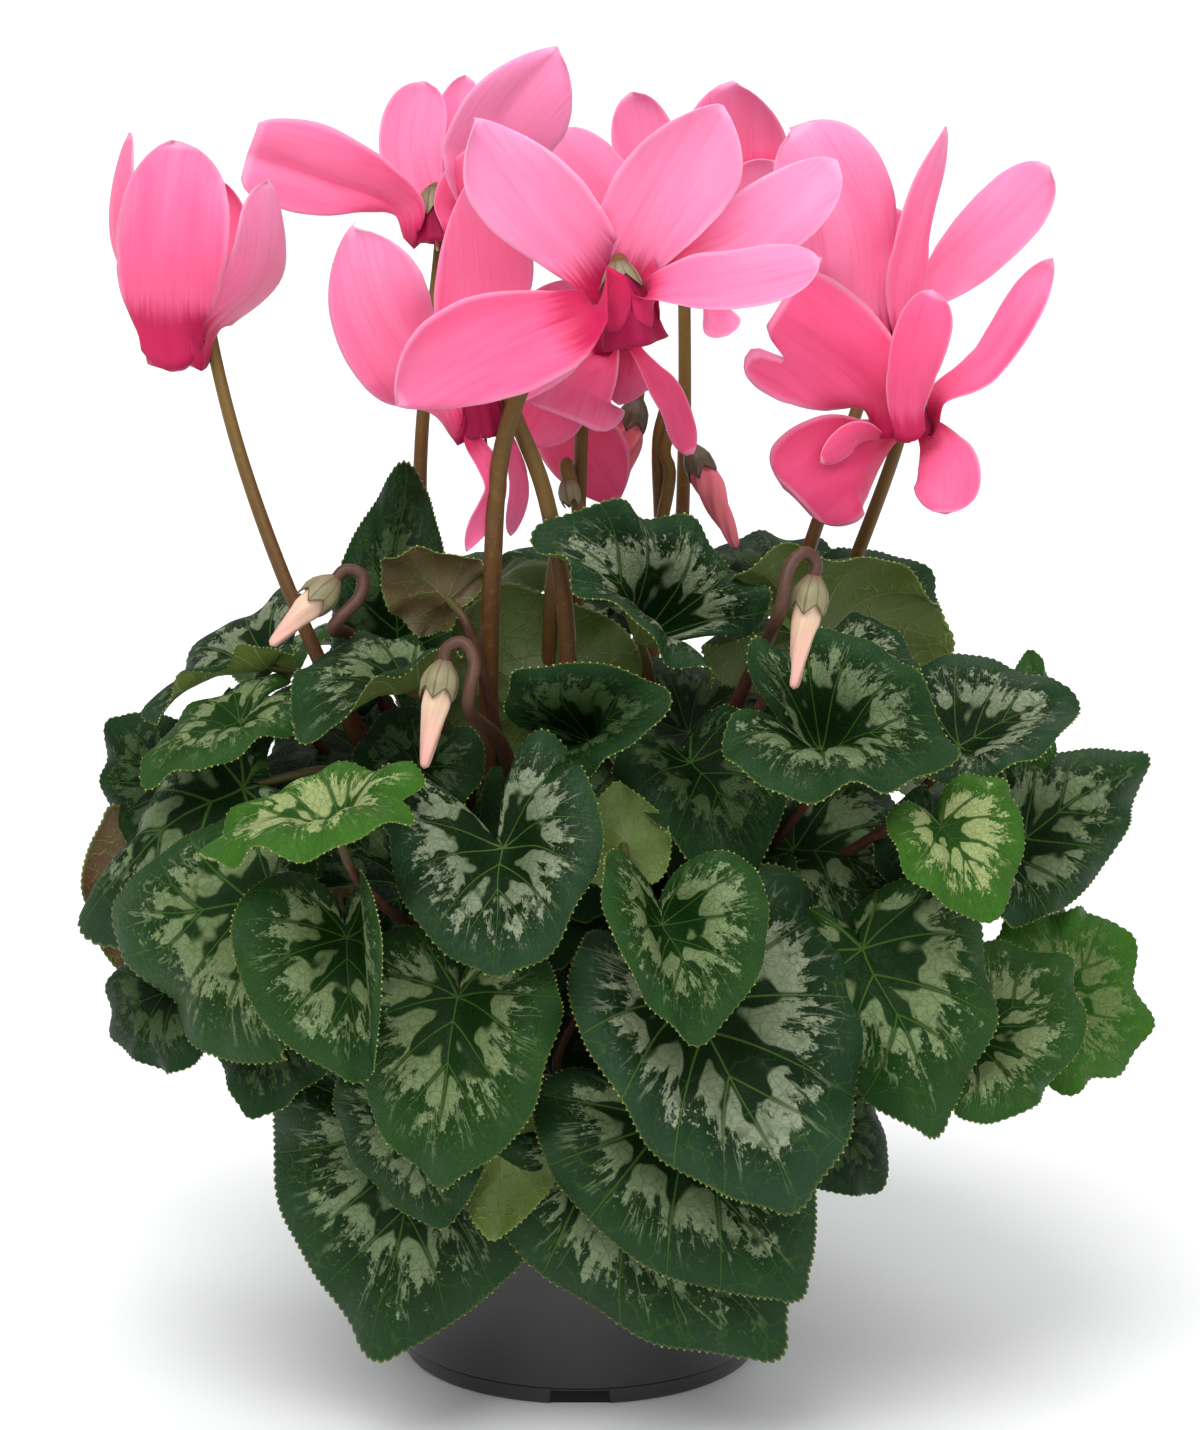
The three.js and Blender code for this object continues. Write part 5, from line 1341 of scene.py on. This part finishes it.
def makePot():
    p = potShape
    foot, rim, high, floor, channel = p["footRadius"], p["rimRadius"], p["height"], p["floor"], p["channel"]
    bandFoot = high - p["band"]
    bandWall = wallAt(bandFoot)
    bandInside, floorInside = bandWall - p["wall"], wallAt(floor) - p["wall"]
    profile = [
        (0, 0), (30, 0), (31, 0.6), (31.5, channel), (46, channel), (46.3, 0.4), (46.8, 0), (foot - 1.6, 0),
        (foot - 0.6, 0.3), (foot, 1.2), (foot + 0.4, 4.9), (foot + 0.1, 5.2), (foot + 0.15, 5.6),
        (wallAt(5.5) - 0.3, 5.8), (wallAt(6.4), 6.4), (wallAt(40), 40), (wallAt(80), 80),
        (bandWall, bandFoot), (bandWall + 0.5, bandFoot + 0.3), (rim - 1.0, bandFoot + 0.7),
        (rim - 0.4, bandFoot + 1.4),
        (rim, high - 1.2), (rim - 0.3, high - 0.2), (rim - 1.2, high), (rim - 2.3, high - 0.2),
        (rim - 2.6, high - 0.8), (bandInside + 0.3, bandFoot - 1), (bandInside, bandFoot - 2),
        (wallAt(50) - p["wall"], 50), (floorInside - 0.6, floor + 1), (floorInside - 2, floor), (0, floor)]
    pot = turnedMesh("potMoulded", profile, p["columns"])
    notch = []
    for z, grow in ((-4, 0.6), (p["notchHeight"], -0.4)):
        x, front, back = p["notchWidth"] / 2 + grow, 1.5 - foot - p["notchFront"], p["notchDepth"] - foot
        notch += [(-x, front, z), (x, front, z), (x, back, z), (-x, back, z)]
    ring = np.arange(p["holeSides"]) * 2 * np.pi / p["holeSides"]
    drain = np.array([(p["holeRadius"] * math.cos(a), p["holeRadius"] * math.sin(a), z)
                      for z in (-1, floor + 1) for a in ring])
    cutters = [turnedBy(notch, k * 2 * math.pi / p["notches"]) for k in range(p["notches"])]
    for k in range(p["holes"]):
        cutters.append(drain + direction((k + 0.5) * 360 / p["holes"], 0) * p["holeCircle"])
    cutOut(pot, [newObject("cutter", corners, cappedFaces(2, len(corners) // 2), smooth=False)
                 for corners in cutters])
    pot.data.shade_smooth()
    pot.data.set_sharp_from_angle(angle=math.radians(p["sharpFrom"]))
    pot.data.materials.clear()
    pot.data.materials.append(makePotPlastic())
    finishPiece(pot, "pot", "pot")


def makePotPlastic():
    newMaterial("potPlastic")
    place = objectPlace()
    x, y, z = splitAxes(place)
    fine = noise(place, 900, 3, 0.6)
    rings = noise(joinAxes(mul(x, 6.0), mul(y, 6.0), mul(z, 420.0)), 1.0, 3)
    c = potColours
    colour = blend(ease(noise(place, 28, 4, 0.6), 0.35, 0.8), c["dark"], c["scuffed"])
    colour = blend(mul(ease(fine, 0.62, 0.8), 0.25), colour, c["fine"])
    colour = blend(mul(calc("COMPARE", z, 0.0054, 0.0002), 0.5), colour, c["seam"])
    # Painted shade: under the pot, inside the foot ring and back in the notches the plastic is near black
    radial = calc("SQRT", add(mul(x, x), mul(y, y)))
    inside = mul(flip(ease(radial, 0.0500, 0.0512)), calc("LESS_THAN", z, 0.0047))
    colour = blend(mul(inside, 0.9), colour, c["below"])
    roughness = mulAdd(rings, 0.2, mulAdd(inside, 0.5, 0.34), clamp=True)
    return closeMaterial(colour, roughness, {
        "Specular IOR Level": 0.6, "Sheen Weight": 0.12, "Sheen Roughness": 0.5,
        **bump(mulAdd(rings, 0.4, fine), 0.00012, 0.5)})


# Soil and tuber colours: dark, light and flecks
soilShape = {"top": 101, "radius": 61.5, "recess": 37.3, "columns": 96,
             "crumbs": 1500, "crumbRadius": 1.25, "leastCrumb": 0.25, "crumbFlatness": 0.6, "seed": 5,
             "colours": [(0.020, 0.012, 0.007), (0.062, 0.040, 0.024), (0.16, 0.11, 0.07)]}
tuberShape = {"radius": 37, "bottom": 90, "columns": 120,
              "colours": [(0.035, 0.020, 0.012), (0.11, 0.070, 0.042), (0.20, 0.14, 0.09)]}


def makeEarth(name, dark, light, fleck):
    newMaterial(name)
    lump = noise(objectPlace(), 120, 4, 0.7)
    grit = noise(objectPlace(), 800)
    colour = blend(ease(lump, 0.3, 0.7), dark, light)
    colour = blend(mul(ease(grit, 0.6, 0.75), 0.6), colour, fleck)
    return closeMaterial(colour, mulAdd(grit, 0.2, 0.75), bump(add(lump, grit), 0.0012, 0.8))


def makeSoil():
    s = soilShape
    top, radius, recess, amount = s["top"], s["radius"], s["recess"], s["crumbs"]
    earth = makeEarth("soilMix", *s["colours"])
    profile = [(0, 4.8), (50.8, 4.8), (radius, top - 2)]
    profile += [(recess + 0.5 + k, top + 0.9 * math.sin(k * 1.9)) for k in range(20, 0, -2)]
    profile += [(recess + 0.3, top - 0.6), (recess, 95), (30, 89.7), (0, 89.7)]
    soil = turnedMesh("soilBody", profile, s["columns"])
    soil.data.materials.append(earth)
    rng = np.random.default_rng(s["seed"])
    reach = np.sqrt(rng.uniform((recess + 2) ** 2, (radius - 1.5) ** 2, amount))
    turn = rng.uniform(0, 2 * np.pi, amount)
    height = top + rng.uniform(-0.6, 0.9, amount)
    crumbs = newObject("soilCrumbs", np.column_stack([reach * np.cos(turn), reach * np.sin(turn), height]))
    runTree(crumbs, grainTree, {"Grain Radius": s["crumbRadius"] * mm, "Smallest": s["leastCrumb"], "Seed": 8,
                                "Flatness": s["crumbFlatness"], "Material": earth})
    finishPiece(joinInto("soilMixed", [soil, crumbs]), "soil", "soil")


def makeTuber():
    wide, bottom = tuberShape["radius"], tuberShape["bottom"]
    profile = [(0, bottom), (26, bottom), (31, bottom + 0.6), (35.5, 93.5), (wide, 96.5), (wide, 101),
               (36.2, 104), (34.2, 106.5), (30, 107.8), (20, 108.2), (10, 108), (0, 107.8)]
    tuber = turnedMesh("tuberBody", profile, tuberShape["columns"])
    for vertex in tuber.data.vertices:
        turn = math.atan2(vertex.co.y, vertex.co.x)
        lump = 1 - 0.012 * (1 + math.sin(7 * turn + 3000 * vertex.co.z) + 0.6 * math.sin(13 * turn))
        vertex.co.xy *= lump
    tuber.data.materials.append(makeEarth("tuberCork", *tuberShape["colours"]))
    finishPiece(tuber, "tuber", "tuber")


# Put it together
makeStudio()
stemTree = makeStemTree()
grainTree = makeGrainTree()
leafTop = makeLeafTop()
leafUnder = makeLeafUnder()
leafGland = makeGland()
petioleSkin, stalkSkin, budStalkSkin = (makeStemSkin(name) for name in stemColours)
petalSkin = makePetalSkin()
calyxSkin = makeCalyxSkin()
budSkin = makeBudSkin()
styleSkin = makeStyleSkin()
print("materials ready")

count = 0
for name, root, blades in leafNodes:
    makeLeafNode(name, root, blades, count)
    count += len(blades)
makeInnerLeaves(count)
print("leaves grown:", count + len(innerBlades))

for number, flower in enumerate(flowers):
    makeFlower(flower, number)
for stalk in bareStalks:
    makeStalk(stalk, bareCalyx)
for number, bud in enumerate(buds):
    makeBud(bud, number)
print("flowers and buds open")

makePot()
makeSoil()
makeTuber()
print("pot filled")
